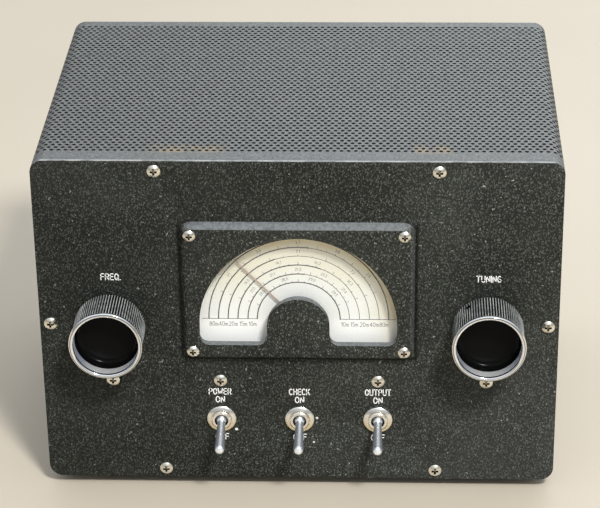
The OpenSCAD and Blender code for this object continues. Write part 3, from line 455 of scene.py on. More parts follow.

# %% [markdown]
# The wrap's paint is a thin satin grey. It is never one colour: there is fine orange peel, dust in the
# grain, and over the first rows of holes two rust stains where the paint has worn through. A noise breaks
# the stains up, and the distance from a row and a place keeps them there. The walls of the punched holes
# have a near-black finish of their own: painted shade, so the holes look dark.

# %% Satin grey for the wrap
STAINS_MM = ((-62.0, 26.0), (77.0, 14.0))
RUST = (0.26, 0.2, 0.115)
GREYS = ((0.34, (0.064, 0.068, 0.0665)), (0.66, (0.158, 0.167, 0.164)))
wrap_grey = Finish("cover_grey", (0.1, 0.105, 0.105), 0.5, Specular_IOR_Level=0.35)
mottle = wrap_grey.ramp(wrap_grey.grain(700, 3.0, 0.6), *GREYS)
behind_strip = wrap_grey.fade(wrap_grey.along("Y"), (FIRST_ROW - 4) * MM, (FIRST_ROW - 1) * MM)
few_rows = wrap_grey.fade(wrap_grey.along("Y"), (FIRST_ROW + 10) * MM, (FIRST_ROW + 4) * MM)
near = 0.0
for x, reach in STAINS_MM:
    away = wrap_grey.off(wrap_grey.along("X"), x * MM)
    near = wrap_grey.step("MAXIMUM", wrap_grey.fade(away, reach * MM, 0.5 * reach * MM), near)
blot = wrap_grey.ramp(wrap_grey.grain(140, 5.0, 0.65), (0.4, 0.0), (0.58, 0.7))
stain = wrap_grey.times(blot, behind_strip, few_rows, near)
wrap_grey.paint("Base Color", wrap_grey.between(stain, mottle, RUST))
wrap_grey.bump(wrap_grey.grain(1500, 2.0), 0.25, 0.1 * MM)
# Painted shade: the hole walls are near black, so the holes look dark.
hole_shade = Finish("hole_painted_shade", (0.015, 0.015, 0.014), 0.7, Specular_IOR_Level=0.2)
hole_shade.paint("Base Color", hole_shade.ramp(hole_shade.grain(900, 2.0), (0.35, 0.006), (0.7, (0.03, 0.03, 0.028))))
for wrap in wraps:
    wrap.data.materials.append(wrap_grey.material)
    wrap.data.materials.append(hole_shade.material)
wrap_grey.coat("rear_panel", "base_plate", "front_lip", "rear_lip")

# %% [markdown]
# The panel and the dial frame have black crackle paint: it wrinkles as it dries into grains of about a
# millimetre, and their tips catch the light as specks. A bump gives the grains, and the specks are painted
# glints: a cell pattern of nearly the same size scatters bright tips, each with a brightness of its own,
# and a finer noise adds more. The cells are drawn out a little downwards, as the paint ran. Faces that
# point up are painted paler, as dust and as a painted sheen of light from above. The panel is painted
# darker towards the left, and paler on faces that point right and low on the right: painted light from
# the right.

# %% Black crackle paint
WRINKLES_PER_METRE, DOTS_PER_METRE = 1100.0, 820.0
RUN_DOWN = (1.25, 1.0, 0.84)
CLOUDS = ((0.35, (0.016, 0.0172, 0.0148)), (0.7, (0.028, 0.0302, 0.0262)))
TIP_GLINT, SPECK_GLINT, DUST_AND_SHEEN = (0.16, 0.172, 0.15), (0.42, 0.43, 0.4), (0.18, 0.193, 0.201)
crackle = Finish("crackle_black", (0.02, 0.021, 0.02), 0.5, Specular_IOR_Level=0.1)
cells = {"Vector": crackle.here(), "Scale": WRINKLES_PER_METRE}
wrinkles = add(crackle.tree, "TexVoronoi", cells, feature="SMOOTH_F1").outputs["Distance"]
cells = {"Vector": crackle.vector("MULTIPLY", crackle.here(), RUN_DOWN), "Scale": DOTS_PER_METRE}
dots = add(crackle.tree, "TexVoronoi", cells)
picked = crackle.ramp(dots.outputs["Color"], (0.3, 0.1), (0.75, 1.0))
# Painted glints: bright cell tips and specks stand for light caught by the grains.
tip_glints = crackle.times(crackle.fade(dots.outputs["Distance"], 0.62, 0.2), picked)
dotted = crackle.between(tip_glints, crackle.ramp(crackle.grain(25, 4.0), *CLOUDS), TIP_GLINT)
specks = crackle.ramp(crackle.grain(560, 1.0, 0.4), (0.745, 0.0), (0.78, 0.6))
flecked = crackle.between(specks, dotted, SPECK_GLINT)
# Painted shade: the panel darkens towards the left.
left_shade_share = crackle.ramp(crackle.fade(crackle.along("X"), 0.07, -0.13), (0.0, 0.0), (1.0, 0.26))
darker = crackle.between(left_shade_share, flecked, (0.0, 0.0, 0.0))
patchy = crackle.ramp(crackle.grain(480, 3.0), (0.38, 0.62), (0.62, 0.97))
# Dust and a painted sheen: faces that point up are paler.
dust_and_sheen_on_top = crackle.times(crackle.fade(crackle.facing("Z"), 0.3, 0.85), patchy)
# Painted light: faces that point right, and the panel low on the right, are paler.
lit_from_right = crackle.times(crackle.fade(crackle.facing("X"), 0.5, 0.95), 0.2)
low_right_lit = crackle.times(crackle.fade(crackle.along("X"), 0.02, 0.13),
                          crackle.fade(crackle.along("Z"), 0.12, 0.03))
painted_light_right = crackle.step("MAXIMUM", lit_from_right, crackle.times(low_right_lit, 0.08))
dust_and_painted_light = crackle.between(crackle.step("MAXIMUM", dust_and_sheen_on_top, painted_light_right), darker, DUST_AND_SHEEN)
print("crackle: grains, specks and dust")

# %% [markdown]
# Three layers more go on the panel. Chips beside the switches show the bare primer: each is a small ball,
# so it needs only a distance. A painted shadow darkens the panel in a narrow band beside and below the
# dial frame: how far a point lies outside the frame's box says where. And the panel's upper edge is
# rubbed pale, which also paints in a highlight along it.

# %% Chips, painted shadow round the frame and rubbed edge
CHIPS_MM = ((-37.5, 39.3, 0.95), (10.2, 47.4, 0.8), (8.2, 30.8, 0.6))
SEAM_MM = (0.9, 2.4)
PRIMER, SEAM_SHADOW, RUBBED_HIGHLIGHT = (0.72, 0.72, 0.7), (0.002, 0.002, 0.002), (0.36, 0.37, 0.37)
panel_low, panel_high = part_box("front_panel")
frame_low, frame_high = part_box("dial_frame")
chips = 0.0
for x, z, radius in CHIPS_MM:
    away = crackle.vector("DISTANCE", crackle.here(), (x * MM, panel_low.y, z * MM), "Value")
    chips = crackle.step("MAXIMUM", crackle.fade(away, 1.2 * radius * MM, 0.7 * radius * MM), chips)
chipped = crackle.between(chips, dust_and_painted_light, PRIMER)
offset = crackle.vector("SUBTRACT", crackle.here(), (frame_low + frame_high) / 2)
offset = crackle.vector("SUBTRACT", crackle.vector("ABSOLUTE", offset), (frame_high - frame_low) / 2)
offset = add(crackle.tree, "SeparateXYZ", {"Vector": offset}).outputs
outside = crackle.step("MAXIMUM", offset["X"], offset["Z"])
# Painted shadow in a band beside and below the dial frame.
close = crackle.times(crackle.fade(outside, SEAM_MM[1] * MM, SEAM_MM[0] * MM),
                      crackle.fade(outside, -0.3 * MM, 0.1 * MM))
below_top = crackle.fade(crackle.along("Z"), frame_high.z, frame_high.z - 2 * MM)
seam_shadowed = crackle.between(crackle.times(close, below_top, 0.75), chipped, SEAM_SHADOW)
top_edge = crackle.fade(crackle.along("Z"), panel_high.z - 0.6 * MM, panel_high.z - 0.2 * MM)
front_only = crackle.fade(crackle.along("Y"), panel_low.y + 1.2 * MM, panel_low.y + 0.7 * MM)
uneven = crackle.ramp(crackle.grain(120, 4.0), (0.4, 0.4), (0.6, 1.0))
# The upper edge is painted pale: rubbed paint and a painted highlight.
crackle.paint("Base Color", crackle.between(crackle.times(top_edge, front_only, uneven), seam_shadowed, RUBBED_HIGHLIGHT))
crackle.bump(wrinkles, 0.55, 0.5 * MM)
crackle.coat("front_panel", "dial_frame")
soften(["front_panel"], 0.0006, 2)
soften(["dial_frame"], 0.0009, 3, 28.0)

# %% [markdown]
# The bright parts differ. The knob rings are polished chrome, the screws and switches are nickel that has
# dulled, and the inside of the cabinet is plain aluminium. All are metals; what sets them apart is how
# sharp the reflection is and how much it is broken up by turning marks and tarnish. On the screws and
# nuts, metal close to a wall is painted darker: painted shade, as in a screw's recess. The switches' nuts
# and bushings are painted a warm brass yellow where they face down, a painted reflection of the floor,
# and the levers' flanks are painted darker, which leaves a painted highlight along each lever.

# %% Metals
RECESS_SHADE, WARM_FLOOR_REFLECTION, FLANK_SHADE = (0.05, 0.045, 0.035), (0.92, 0.72, 0.38), (0.38, 0.42, 0.47)


def metal_finish(name, colour, rough, tarnish, per_metre=300.0, scratch=0.1 * MM, hollow=0.0):
    """A metal whose gloss and tint vary with a noise; tarnish is the second tint.

    hollow is how far, in metres, a nearby wall darkens the metal: painted shade, as in a screw's recess.
    """
    finish = Finish(name, colour, rough, 1.0)
    spot = finish.grain(per_metre, 5.0, 0.6)
    tint = finish.ramp(spot, (0.35, tarnish), (0.65, colour))
    if hollow:
        # Painted shade: metal near a wall is darker, as in a screw's recess.
        open_air = add(finish.tree, "AmbientOcclusion", {"Distance": hollow}, samples=8, only_local=True)
        clean = finish.ramp(open_air.outputs["AO"], (0.55, 0.0), (0.9, 1.0))
        tint = finish.between(clean, RECESS_SHADE, tint)
    finish.paint("Base Color", tint)
    finish.paint("Roughness", finish.ramp(spot, (0.3, rough + 0.07), (0.7, rough - 0.05)))
    finish.bump(finish.grain(per_metre * 9, 2.0), 0.06, scratch)
    return finish


nickel = metal_finish("nickel", (0.86, 0.84, 0.78), 0.27, (0.74, 0.68, 0.54), 300.0, 0.05 * MM, 2.5 * MM)
bright = metal_finish("bright_nickel", (0.9, 0.89, 0.86), 0.24, (0.82, 0.8, 0.73), 260.0, 0.004 * MM)
# Painted reflection of the floor: faces that point down take a warm brass tint.
floor_reflection = bright.times(bright.fade(bright.facing("Z"), 0.15, -0.3), 0.55)
bright.paint("Base Color", bright.between(floor_reflection, bright.tint, WARM_FLOOR_REFLECTION))
satin = metal_finish("satin_nickel", (0.95, 0.97, 1.0), 0.27, (0.88, 0.91, 0.96), 120.0, 0.002 * MM)
satin.paint("Metallic", 0.7)
# Painted shade on the levers' flanks, which leaves a painted highlight along each lever.
flank_shade = satin.times(satin.fade(satin.off(satin.facing("X"), 0.12), 0.1, 0.5),
                    satin.fade(satin.facing("Y"), -0.85, -0.5))
satin.paint("Base Color", satin.between(flank_shade, satin.tint, FLANK_SHADE))
aluminium = metal_finish("aluminium", (0.4, 0.41, 0.42), 0.42, (0.3, 0.3, 0.3))
brass = metal_finish("brass", (0.62, 0.46, 0.2), 0.3, (0.45, 0.32, 0.14))
steel = metal_finish("steel", (0.5, 0.5, 0.51), 0.3, (0.38, 0.37, 0.36))
copper = metal_finish("copper", (0.6, 0.27, 0.12), 0.28, (0.42, 0.18, 0.09), 900.0)

# %% Metals on their nodes
screws = ["panel_screws", "chassis_screws", "rear_screws", "foot_screws", "dial_frame_screws"]
nuts = ["foot_nuts", "chassis_nuts", "bush_nuts", "dial_pillars"]
dress = ["switch_bushings", "switch_nuts"]
levers = ["power_lever", "check_lever", "output_lever"]
rings, knobs = ["freq_ring", "tuning_ring"], ["freq_knob", "tuning_knob"]
plates = [n for n in NODES if n.startswith(("vfo_rotor", "vfo_stator", "tuning_rotor", "tuning_stator"))]
frames = ["vfo_capacitor_frame", "tuning_capacitor_frame", "chassis", "dial_back_plate"]
nickel.coat(*screws, *nuts, "output_socket")
bright.coat(*dress)
satin.coat(*levers)
aluminium.coat(*plates, *frames, "cord_drum", "filter_capacitor")
brass.coat("dial_bush", "panel_bushes")
steel.coat("drive_spindle", "freq_grub_screw", "tuning_grub_screw")
copper.coat("vfo_coil_winding", "output_coil_winding")
soften(screws + nuts + dress + levers + rings + ["output_socket"])

# %% [markdown]
# A knob is a black fluted barrel with a chromed ring at its mouth. Fingers have rubbed the flutes' crests
# grey, so the finish reads the distance from the knob's axis: black in the grooves, pale on the crests. The
# crests are painted palest on top and darker where they face left: painted light from above and the
# right. Both knobs share the finish, because their axes lie at the same height on either side. The ring
# is mirror bright at its rim, with a dark line painted as the shade of a turned groove. Its lining is
# brushed, and painted darker and bluish, and white where it faces up: a painted reflection and highlight.

# %% Fluted barrels
GROOVE_BLACK = (0.003, 0.003, 0.003)
GRIPS = ((0.3, (0.2, 0.212, 0.204)), (0.7, (0.48, 0.495, 0.48)))
NO_DEPTH = (1.0, 0.0, 1.0)


def middle_of(node):
    """The x and z of the middle of a CAD node."""
    low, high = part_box(node)
    return (low.x + high.x) / 2, (low.z + high.z) / 2


def radius_of(node):
    """Half the width of a CAD node."""
    low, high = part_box(node)
    return (high.x - low.x) / 2


knob_x, knob_z = middle_of("tuning_ring")
freq_x, freq_z = middle_of("freq_ring")
barrel_r = radius_of("tuning_knob")


def from_axis(finish):
    """How far a point lies from its knob's axis: x is taken without its sign, so one formula serves both."""
    flat = finish.vector("MULTIPLY", finish.vector("ABSOLUTE", finish.here()), NO_DEPTH)
    return finish.vector("DISTANCE", flat, (knob_x, 0.0, knob_z), "Value")


barrel = Finish("black_plastic", GROOVE_BLACK, 0.2, Specular_IOR_Level=0.05)
crest = barrel.fade(from_axis(barrel), barrel_r - 0.4 * MM, barrel_r - 0.18 * MM)
# Painted light: crests paler on top and darker where they face left.
lit_on_top = barrel.ramp(barrel.fade(barrel.facing("Z"), 0.4, 0.95), (0.0, 0.04), (1.0, 1.0))
not_left = barrel.ramp(barrel.fade(barrel.facing("X"), 0.1, -0.65), (0.0, 1.0), (1.0, 0.16))
grip = barrel.ramp(barrel.grain(220, 3.0), *GRIPS)
barrel.paint("Base Color", barrel.between(barrel.times(crest, lit_on_top, not_left), GROOVE_BLACK, grip))
barrel.paint("Roughness", barrel.ramp(crest, (0.0, 0.2), (1.0, 0.5)))
barrel.coat(*knobs)
print("barrel radius:", round(barrel_r / MM, 2), "mm")

# %% Chromed rings
CHROME, LINING_REFLECTION, MATT = (0.86, 0.87, 0.89), (0.6, 0.66, 0.76), (0.62, 0.62, 0.62)
ring_groove = radius_of("tuning_ring") - 0.95 * MM
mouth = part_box("tuning_ring")[0].y
chrome = Finish("chrome_ring", CHROME, 0.07, 1.0)
lining = chrome.fade(chrome.along("Y"), mouth + 1.3 * MM, mouth + 2.2 * MM)
smear = chrome.ramp(chrome.grain(90, 4.0), (0.35, 0.05), (0.7, 0.11))
chrome.paint("Roughness", chrome.between(lining, smear, MATT))
# Painted reflection and highlight: the lining is darker and bluish, and white where it faces up.
lining_reflection = chrome.between(chrome.fade(chrome.facing("Z"), 0.5, 1.0), LINING_REFLECTION, (1.0, 1.0, 1.0))
polished = chrome.between(lining, CHROME, lining_reflection)
# Painted shade: a dark line where a turned groove would be.
groove_shade = chrome.fade(chrome.off(from_axis(chrome), ring_groove), 0.42 * MM, 0.18 * MM)
chrome.paint("Base Color", chrome.between(chrome.times(groove_shade, 0.75), polished, (0.1, 0.1, 0.1)))
chrome.coat(*rings)

# %% [markdown]
# The rest are mouldings, rubber, paper, glass and the coils' ceramic. Each gets its own small pattern,
# because a single flat colour never looks like a material.

# %% Mouldings, rubber and the inner pieces
FINE, COARSE = 0.05 * MM, 0.1 * MM


def moulded(name, colour, rough, per_metre, depth, nodes, shade=0.75):
    """A painted or moulded finish: the colour drifts towards a darker shade, and a fine noise roughens it."""
    finish = Finish(name, colour, rough)
    dark = tuple(shade * c for c in colour)
    finish.paint("Base Color", finish.ramp(finish.grain(per_metre, 4.0), (0.35, dark), (0.65, colour)))
    finish.bump(finish.grain(per_metre * 5, 2.0), 0.2, depth)
    finish.coat(*nodes)


moulded("black_moulding", (0.012, 0.012, 0.012), 0.3, 200, FINE, ["fuse_holder"])
moulded("rubber", (0.022, 0.022, 0.021), 0.75, 300, COARSE, ["rubber_feet", "cord_grommet"])
moulded("cord", (0.6, 0.55, 0.44), 0.8, 1500, 2 * COARSE, ["dial_cord"])
moulded("bakelite", (0.06, 0.032, 0.018), 0.35, 150, FINE, ["switch_bodies", "tube_sockets"])
moulded("coil_ceramic", (0.75, 0.72, 0.65), 0.55, 120, FINE, ["vfo_coil_former", "output_coil_former"], 0.9)
moulded("core_iron", (0.09, 0.09, 0.095), 0.45, 80, 2 * COARSE, ["transformer_core"])
moulded("coil_paper", (0.36, 0.23, 0.1), 0.5, 90, COARSE, ["transformer_coil"])
moulded("pointer_red", (0.44, 0.31, 0.24), 0.5, 400, 0.03 * MM, ["dial_pointer"])
soften(knobs + ["fuse_holder", "rubber_feet", "cord_grommet", "filter_capacitor"], split=40.0)

# %% Clear window and tubes
def clear(name, colour, rough, nodes, share):
    """A clear sheet or bulb: mostly see-through, with the gloss of glass over it."""
    finish = Finish(name, colour, rough, IOR=1.49, Alpha=share)
    finish.paint("Roughness", finish.ramp(finish.grain(70, 4.0), (0.4, rough), (0.7, rough + 0.08)))
    finish.coat(*nodes)


tubes = ["oscillator_tube", "buffer_tube", "output_tube"]
clear("clear_sheet", (0.97, 0.98, 0.97), 0.04, ["dial_window"], 0.05)
clear("tube_glass", (0.8, 0.85, 0.86), 0.03, tubes, 0.35)
soften(tubes + ["dial_window"])

# %% [markdown]
# The dial card is cream paper that has yellowed, most of all along its outer edge, where the frame never
# shaded it. The distance from the dial's centre drives the change, and a noise makes its border uneven. The
# two feet below the level line have stayed white, and are painted brighter than the card's middle:
# painted light against the shade that falls on them behind the frame.

# %% Aged dial card
CLEAN, FOOT_LIT_WHITE, FIBRE = (0.83, 0.845, 0.815), (0.99, 0.995, 0.975), (0.6, 0.55, 0.42)
CREAM, CREAM_MM = (0.74, 0.72, 0.58), (24.0, 50.0)
BROWN, BROWN_MM = (0.78, 0.64, 0.33), (51.5, 62.0)
WANDER = 12.0 * MM
hinge = next(j for j in frame["joints"] if j["name"] == "dial_turn")
dial_x, dial_z = hinge["pos_m"][0], hinge["pos_m"][2]
card_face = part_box("dial_card")[0].y
card = Finish("ivory_card", (0.82, 0.8, 0.7), 0.7)
flat = card.vector("MULTIPLY", card.here(), NO_DEPTH)
out = card.vector("DISTANCE", flat, (dial_x, 0.0, dial_z), "Value")
reach = card.step("ADD", out, card.times(card.grain(60, 4.0), WANDER))


def from_centre(axis, start, end):
    """A share that rises between two distances in millimetres from the dial's centre along X or Z."""
    centre = dial_x if axis == "X" else dial_z
    return card.fade(card.along(axis), centre + start * MM, centre + end * MM)


above_foot = card.ramp(from_centre("Z", -4, 4), (0.0, 0.35), (1.0, 1.0))
exposed = card.step("MAXIMUM", from_centre("Z", 4, 34), card.times(from_centre("X", 30, 54), above_foot))
cream = card.times(card.fade(reach, *(mm * MM for mm in CREAM_MM)), exposed)
not_left = card.ramp(from_centre("X", -44, -12), (0.0, 0.0), (1.0, 0.75))
brown = card.times(card.fade(reach, *(mm * MM for mm in BROWN_MM)), exposed, not_left)
# Painted light: the feet are brighter than the card's middle, against the shade there.
clean = card.between(from_centre("Z", 4, -4), CLEAN, FOOT_LIT_WHITE)
aged = card.between(brown, card.between(cream, clean, CREAM), BROWN)
fibre = card.grain(900, 4.0)
card.paint("Base Color", card.between(card.times(fibre, 0.08), aged, FIBRE))
card.bump(fibre, 0.15, FINE)
card.coat("dial_card")
print("dial centre:", dial_x, dial_z)

# %% [markdown]
# Letters and dial lines are all strokes of one width with round ends, as a lettering pen draws them.
# Blender's text objects could write them, but their font has no pen stroke. So each sign is a few lines and
# arcs, and a flat bar of ink is carried along each of them. The bar narrows at its ends along a half
# circle.

# %% A bar of ink along a path
def arc(x, z, rx, rz, start, end, steps=13):
    """Points on an ellipse about (x, z) from one angle to another, in degrees."""
    t = np.radians(np.linspace(start, end, steps))
    return np.stack([x + rx * np.cos(t), z + rz * np.sin(t)], axis=1)


CAP = np.radians([8.0, 30.0, 60.0])


def ink_bar(path, half, thick, face):
    """A closed bar on the plane y = face, along flat points (n, 2), of half width and thickness.

    At each point the bar spans the normal to the path; past both ends the width follows a half circle.
    """
    tangent = np.gradient(path, axis=0)
    tangent /= np.linalg.norm(tangent, axis=1, keepdims=True)
    head = path[:1] - tangent[:1] * half * np.cos(CAP)[:, None]
    tail = path[-1:] + tangent[-1:] * half * np.cos(CAP[::-1])[:, None]
    line = np.concatenate([head, path, tail])
    heading = np.concatenate([tangent[[0] * 3], tangent, tangent[[-1] * 3]])
    width = half * np.concatenate([np.sin(CAP), np.ones(len(path)), np.sin(CAP[::-1])])
    normal = np.stack([-heading[:, 1], heading[:, 0]], axis=1) * width[:, None]
    left, right = line + normal, line - normal
    corners = [np.insert(side, 1, depth, axis=1) for side, depth in
               ((left, face), (left, face - thick), (right, face - thick), (right, face))]
    points = np.stack(corners, axis=1).reshape(-1, 3)
    ring = np.arange(len(line))[:, None] * 4 + np.arange(4)
    turned = np.roll(ring, -1, 1)
    sides = np.stack([ring[:-1], ring[1:], turned[1:], turned[:-1]], axis=2).reshape(-1, 4)
    ends = np.stack([ring[0], ring[-1][::-1]])
    return points, np.concatenate([sides, ends])


def gather(bars):
    """Many bars as one set of points and quads."""
    offsets = np.cumsum([0] + [len(p) for p, _ in bars[:-1]])
    return np.concatenate([p for p, _ in bars]), np.concatenate([q + o for (_, q), o in zip(bars, offsets)])


# %% The pen's alphabet
def rule(*ends):
    """A straight stroke through flat points."""
    return np.array(ends, dtype=float)


ROUND = arc(0.29, 0.5, 0.29, 0.5, 0, 360, 25)
STEM, FAR_STEM = rule((0, 0), (0, 1)), rule((0.54, 0), (0.54, 1))
ARMS = [rule((0, 1), (0.5, 1)), rule((0, 0.52), (0.42, 0.52))]
BOWL = [STEM, rule((0, 1), (0.3, 1)), arc(0.3, 0.74, 0.25, 0.26, 90, -90), rule((0.3, 0.48), (0, 0.48))]
SIGNS = {
    "C": (0.54, [arc(0.29, 0.5, 0.29, 0.5, 52, 308, 19)]),
    "E": (0.5, [STEM, *ARMS, rule((0, 0), (0.5, 0))]),
    "F": (0.5, [STEM, *ARMS]),
    "G": (0.56, [arc(0.29, 0.5, 0.29, 0.5, 52, 328, 19), rule((0.55, 0.22), (0.55, 0.48)),
                 rule((0.55, 0.48), (0.34, 0.48))]),
    "H": (0.54, [STEM, FAR_STEM, rule((0, 0.52), (0.54, 0.52))]),
    "I": (0.0, [STEM]),
    "K": (0.54, [STEM, rule((0.52, 1), (0, 0.4)), rule((0.2, 0.62), (0.54, 0))]),
    "N": (0.54, [STEM, rule((0, 1), (0.54, 0)), FAR_STEM]),
    "O": (0.58, [ROUND]),
    "P": (0.55, BOWL),
    "Q": (0.58, [ROUND, rule((0.36, 0.26), (0.6, -0.04))]),
    "R": (0.55, [*BOWL, rule((0.27, 0.48), (0.55, 0))]),
    "T": (0.56, [rule((0, 1), (0.56, 1)), rule((0.28, 1), (0.28, 0))]),
    "U": (0.54, [rule((0, 1), (0, 0.27)), arc(0.27, 0.27, 0.27, 0.27, 180, 360),
                 rule((0.54, 0.27), (0.54, 1))]),
    "W": (0.8, [rule((0, 1), (0.2, 0)), rule((0.2, 0), (0.4, 0.66)), rule((0.4, 0.66), (0.6, 0)),
                rule((0.6, 0), (0.8, 1))]),
    ".": (0.06, [rule((0, 0.03), (0.06, 0.03))]),
    "m": (0.6, [rule((0, 0), (0, 0.62)), arc(0.15, 0.42, 0.15, 0.2, 180, 0), rule((0.3, 0.42), (0.3, 0)),
                arc(0.45, 0.42, 0.15, 0.2, 180, 0), rule((0.6, 0.42), (0.6, 0))]),
    "0": (0.52, [arc(0.26, 0.5, 0.26, 0.5, 0, 360, 25)]),
    "1": (0.22, [rule((0, 0.76), (0.2, 1)), rule((0.2, 1), (0.2, 0))]),
    "2": (0.52, [arc(0.26, 0.72, 0.26, 0.28, 170, -38), rule((0.465, 0.55), (0, 0)),
                 rule((0, 0), (0.52, 0))]),
    "3": (0.5, [arc(0.24, 0.75, 0.23, 0.25, 150, -90), arc(0.24, 0.26, 0.26, 0.26, 90, -150)]),
    "4": (0.54, [rule((0.4, 0), (0.4, 1)), rule((0.4, 1), (0, 0.3)), rule((0, 0.3), (0.54, 0.3))]),
    "5": (0.5, [rule((0.46, 1), (0.06, 1)), rule((0.06, 1), (0.03, 0.56)),
                arc(0.23, 0.32, 0.27, 0.32, 135, -150)]),
    "6": (0.52, [arc(0.26, 0.3, 0.26, 0.3, 0, 360, 21), arc(0.52, 0.3, 0.52, 0.75, 180, 118)]),
    "7": (0.5, [rule((0, 1), (0.5, 1)), rule((0.5, 1), (0.16, 0))]),
    "8": (0.5, [arc(0.25, 0.76, 0.21, 0.24, 0, 360, 21), arc(0.25, 0.27, 0.25, 0.27, 0, 360, 21)]),
    "9": (0.52, [arc(0.26, 0.7, 0.26, 0.3, 0, 360, 21), arc(0.0, 0.7, 0.52, 0.75, 0, -62)]),
}
GAP, SPACE = 0.24, 0.3


def word_paths(text, height, turn=0.0, place=(0.0, 0.0), narrow=1.0):
    """Strokes of a word, centred on a place and turned about it, in the units of height.

    narrow squeezes the word across its height.
    """
    widths = [SIGNS[c][0] if c != " " else SPACE for c in text]
    starts = np.cumsum([0.0] + [w + GAP for w in widths[:-1]])
    middle = (starts[-1] + widths[-1]) / 2
    spin = np.array([[math.cos(turn), math.sin(turn)], [-math.sin(turn), math.cos(turn)]])
    shift = np.array([middle, 0.5])
    return [((stroke + [start, 0.0] - shift) * [height * narrow, height]) @ spin + place
            for c, start in zip(text, starts) if c != " " for stroke in SIGNS[c][1]]


print("signs in the alphabet:", len(SIGNS))

# %% [markdown]
# The panel's words are white paint, stamped small above each control. Their places come from the CAD nodes:
# a knob's word stands above its barrel, and a switch's words above and below its nut.

# %% Lettering on the panel
CAPITAL, PEN, INK = 3.8 * MM, 0.31 * MM, 0.03 * MM
OVER_KNOB, TITLE_UP, ON_UP, OFF_DOWN = 30.6 * MM, 18.0 * MM, 12.6 * MM, 12.8 * MM
KNOB_SQUEEZE, TITLE_SQUEEZE, STATE_SQUEEZE = 0.93, 0.86, 0.96
FREQ_SHIFT, POWER_SHIFT = 1.5 * MM, -0.6 * MM
switch_x = [middle_of(lever)[0] for lever in levers]
switch_z = middle_of("switch_nuts")[1]
words = [("FREQ.", freq_x + FREQ_SHIFT, freq_z + OVER_KNOB, KNOB_SQUEEZE),
         ("TUNING", knob_x, knob_z + OVER_KNOB, KNOB_SQUEEZE)]
for title, x in zip(("POWER", "CHECK", "OUTPUT"), switch_x):
    over = x + (POWER_SHIFT if title == "POWER" else 0.0)
    words += [(title, over, switch_z + TITLE_UP, TITLE_SQUEEZE),
              ("ON", over, switch_z + ON_UP, STATE_SQUEEZE),
              ("OFF", x, switch_z - OFF_DOWN, STATE_SQUEEZE)]
paths = [path for text, x, z, narrow in words for path in word_paths(text, CAPITAL, 0.0, (x, z), narrow)]
points, quads = gather([ink_bar(path, PEN, INK, panel_low.y) for path in paths])
lettering = make_piece("panel_lettering", points, quads, "cabinet")
white = Finish("lettering_white", (0.88, 0.88, 0.86), 0.5)
chalky = white.ramp(white.grain(1800, 3.0), (0.3, (0.84, 0.84, 0.82)), (0.5, (0.95, 0.95, 0.94)))
white.paint("Base Color", chalky)
lettering.data.materials.append(white.material)

# %% [markdown]
# The dial is printed with six half circles that end on a level line. Each gap between two of them is one
# band, named in metres under both ends of the line, with ticks and numbers along it. Part of each arc is
# printed bold.

# %% Dial lines and numbers
ARCS = np.array([24.0, 29.4, 35.2, 40.9, 46.5, 52.1]) * MM
BOLD_TO = (0, 84, 69, 109, 82, 0)
THIN, BOLD = 0.18 * MM, 0.34 * MM
PRINT = 0.02 * MM
LINE_END = 56.0 * MM
BANDS = {"10m": (28.0, 0.5, 4), "15m": (21.0, 0.1, 5), "20m": (14.0, 0.1, 4),
         "40m": (7.0, 0.1, 3), "80m": (3.5, 0.1, 5)}
HALF_BAND, BAND_DROP = 2.8 * MM, 3.4 * MM
NAME_TALL, NAME_PEN, NAME_SQUEEZE = 2.7 * MM, 0.13 * MM, 0.86
LONG_TICK, SHORT_TICK, TICK_PEN = 1.9 * MM, 0.9 * MM, 0.12 * MM
NUMBER_TALL, NUMBER_OUT, NUMBER_PEN = 1.7 * MM, 3.0 * MM, 0.09 * MM
FIRST_MARK, LAST_MARK, TICKS = 158, 22, 4


def on_dial(angle, radius):
    """A flat point at an angle in degrees from the right, and a radius from the dial's centre."""
    a = np.radians(angle)
    return np.array([dial_x + radius * np.cos(a), dial_z + radius * np.sin(a)])


strokes = []
for radius, bold_to in zip(ARCS, BOLD_TO):
    strokes.append((arc(dial_x, dial_z, radius, radius, 180, bold_to, 91), BOLD))
    if bold_to:
        strokes.append((arc(dial_x, dial_z, radius, radius, bold_to, 0, 61), THIN))
for side in (-1, 1):
    strokes.append((rule((dial_x + side * ARCS[0], dial_z), (dial_x + side * LINE_END, dial_z)), THIN))
for radius, (band, (start, step, count)) in zip(ARCS, BANDS.items()):
    for side in (-1, 1):
        spot = (dial_x + side * (radius + HALF_BAND), dial_z - BAND_DROP)
        strokes += [(p, NAME_PEN) for p in word_paths(band, NAME_TALL, 0.0, spot, NAME_SQUEEZE)]
    for i, angle in enumerate(np.linspace(FIRST_MARK, LAST_MARK, TICKS * count + 1)):
        tall = LONG_TICK if i % TICKS == 0 else SHORT_TICK
        strokes.append((np.stack([on_dial(angle, radius), on_dial(angle, radius + tall)]), TICK_PEN))
        if i % TICKS == TICKS // 2:
            label = f"{start + step * (i // TICKS):.1f}"
            spot, turn = on_dial(angle, radius + NUMBER_OUT), math.radians(angle - 90)
            strokes += [(p, NUMBER_PEN) for p in word_paths(label, NUMBER_TALL, turn, spot)]
points, quads = gather([ink_bar(path, half, PRINT, card_face) for path, half in strokes])
printing = make_piece("dial_printing", points, quads, "cabinet")
black_ink = Finish("dial_ink", (0.012, 0.011, 0.01), 0.6)
faded = black_ink.ramp(black_ink.grain(500, 3.0), (0.4, 0.008), (0.62, (0.04, 0.035, 0.03)))
black_ink.paint("Base Color", faded)
printing.data.materials.append(black_ink.material)

# %% [markdown]
# The stage is a plain pale floor. A small key lamp, high on the right in front, throws the knobs' and
# levers' shadows down to the left. A big weak lamp overhead and a low one behind graze the top and the
# knobs' flutes, and a sky that is dim at the horizon and brighter above fills the rest. A pale card then
# renders about as it is written, and every upper edge has something bright to mirror.

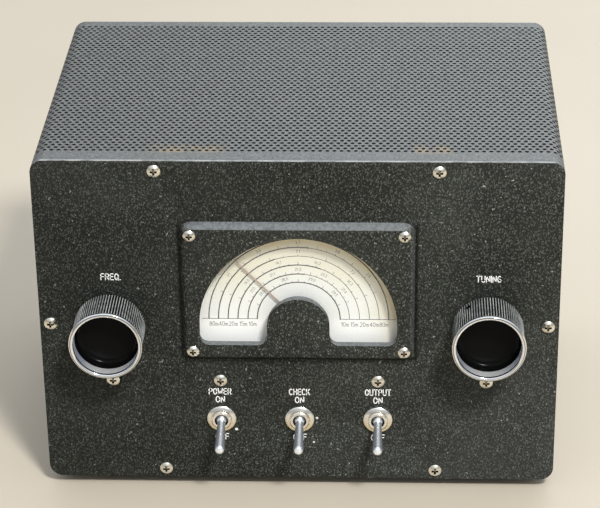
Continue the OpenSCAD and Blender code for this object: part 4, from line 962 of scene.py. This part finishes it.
# %% Floor
SPAN = 6.0
FLOOR_TINTS = ((0.3, (0.505, 0.445, 0.355)), (0.7, (0.535, 0.475, 0.385)))
corners = [(-SPAN, -SPAN, 0), (SPAN, -SPAN, 0), (SPAN, SPAN, 0), (-SPAN, SPAN, 0)]
floor_mesh = bpy.data.meshes.new("studio_floor")
floor_mesh.from_pydata(corners, [], [(0, 1, 2, 3)])
studio_floor = bpy.data.objects.new("studio_floor", floor_mesh)
bpy.context.scene.collection.objects.link(studio_floor)
pale = Finish("floor_pale", (0.52, 0.46, 0.37), 0.55)
pale.paint("Base Color", pale.ramp(pale.grain(3, 2.0), *FLOOR_TINTS))
floor_mesh.materials.append(pale.material)
print("floor:", 2 * SPAN, "m wide")

# %% Lamps and world
SKY_LOW, SKY_HIGH, SKY_FULL = 0.22, 0.92, 0.7


def soft_lamp(name, place, target, width, height, power, colour):
    """An area lamp at a place, turned to a target."""
    lamp = bpy.data.lights.new(name, "AREA")
    lamp.shape, lamp.size, lamp.size_y = "RECTANGLE", width, height
    lamp.energy, lamp.color = power, colour
    holder = bpy.data.objects.new(name, lamp)
    holder.visible_camera = False
    bpy.context.scene.collection.objects.link(holder)
    back = np.array(place, dtype=float) - np.array(target, dtype=float)
    back /= np.linalg.norm(back)
    right = np.cross((0.0, 1.0, 0.001), back)
    right /= np.linalg.norm(right)
    turned = np.eye(4)
    turned[:3, :3] = np.stack([right, np.cross(back, right), back], axis=1)
    turned[:3, 3] = place
    holder.matrix_world = Matrix(turned.tolist())
    print(name, power, "W")


soft_lamp("overhead", (0.15, 0.5, 2.2), (0, 0, 0.1), 1.7, 1.7, 4.0, (0.95, 0.98, 1.0))
soft_lamp("key", (0.85, -1.85, 2.45), (0, 0, 0.1), 0.45, 0.45, 94.0, (1.0, 0.99, 0.97))
soft_lamp("rear", (0.5, 2.0, 1.0), (0, 0, 0.15), 1.6, 0.9, 12.0, (0.9, 0.95, 1.0))
world = bpy.data.worlds.new("studio")
bpy.context.scene.world = world
world.use_nodes = True
sky = world.node_tree.nodes["Background"]
sky.inputs["Color"].default_value = (0.92, 0.96, 1.0, 1.0)
heading = add(world.node_tree, "TexCoord").outputs["Generated"]
height = add(world.node_tree, "SeparateXYZ", {"Vector": heading}).outputs["Z"]
rise = {"Value": height, "From Min": 0.0, "From Max": SKY_FULL, "To Min": SKY_LOW, "To Max": SKY_HIGH}
rise = add(world.node_tree, "MapRange", rise).outputs["Result"]
feed(world.node_tree, sky.inputs["Strength"], rise)
bpy.context.scene.view_settings.view_transform = "Standard"
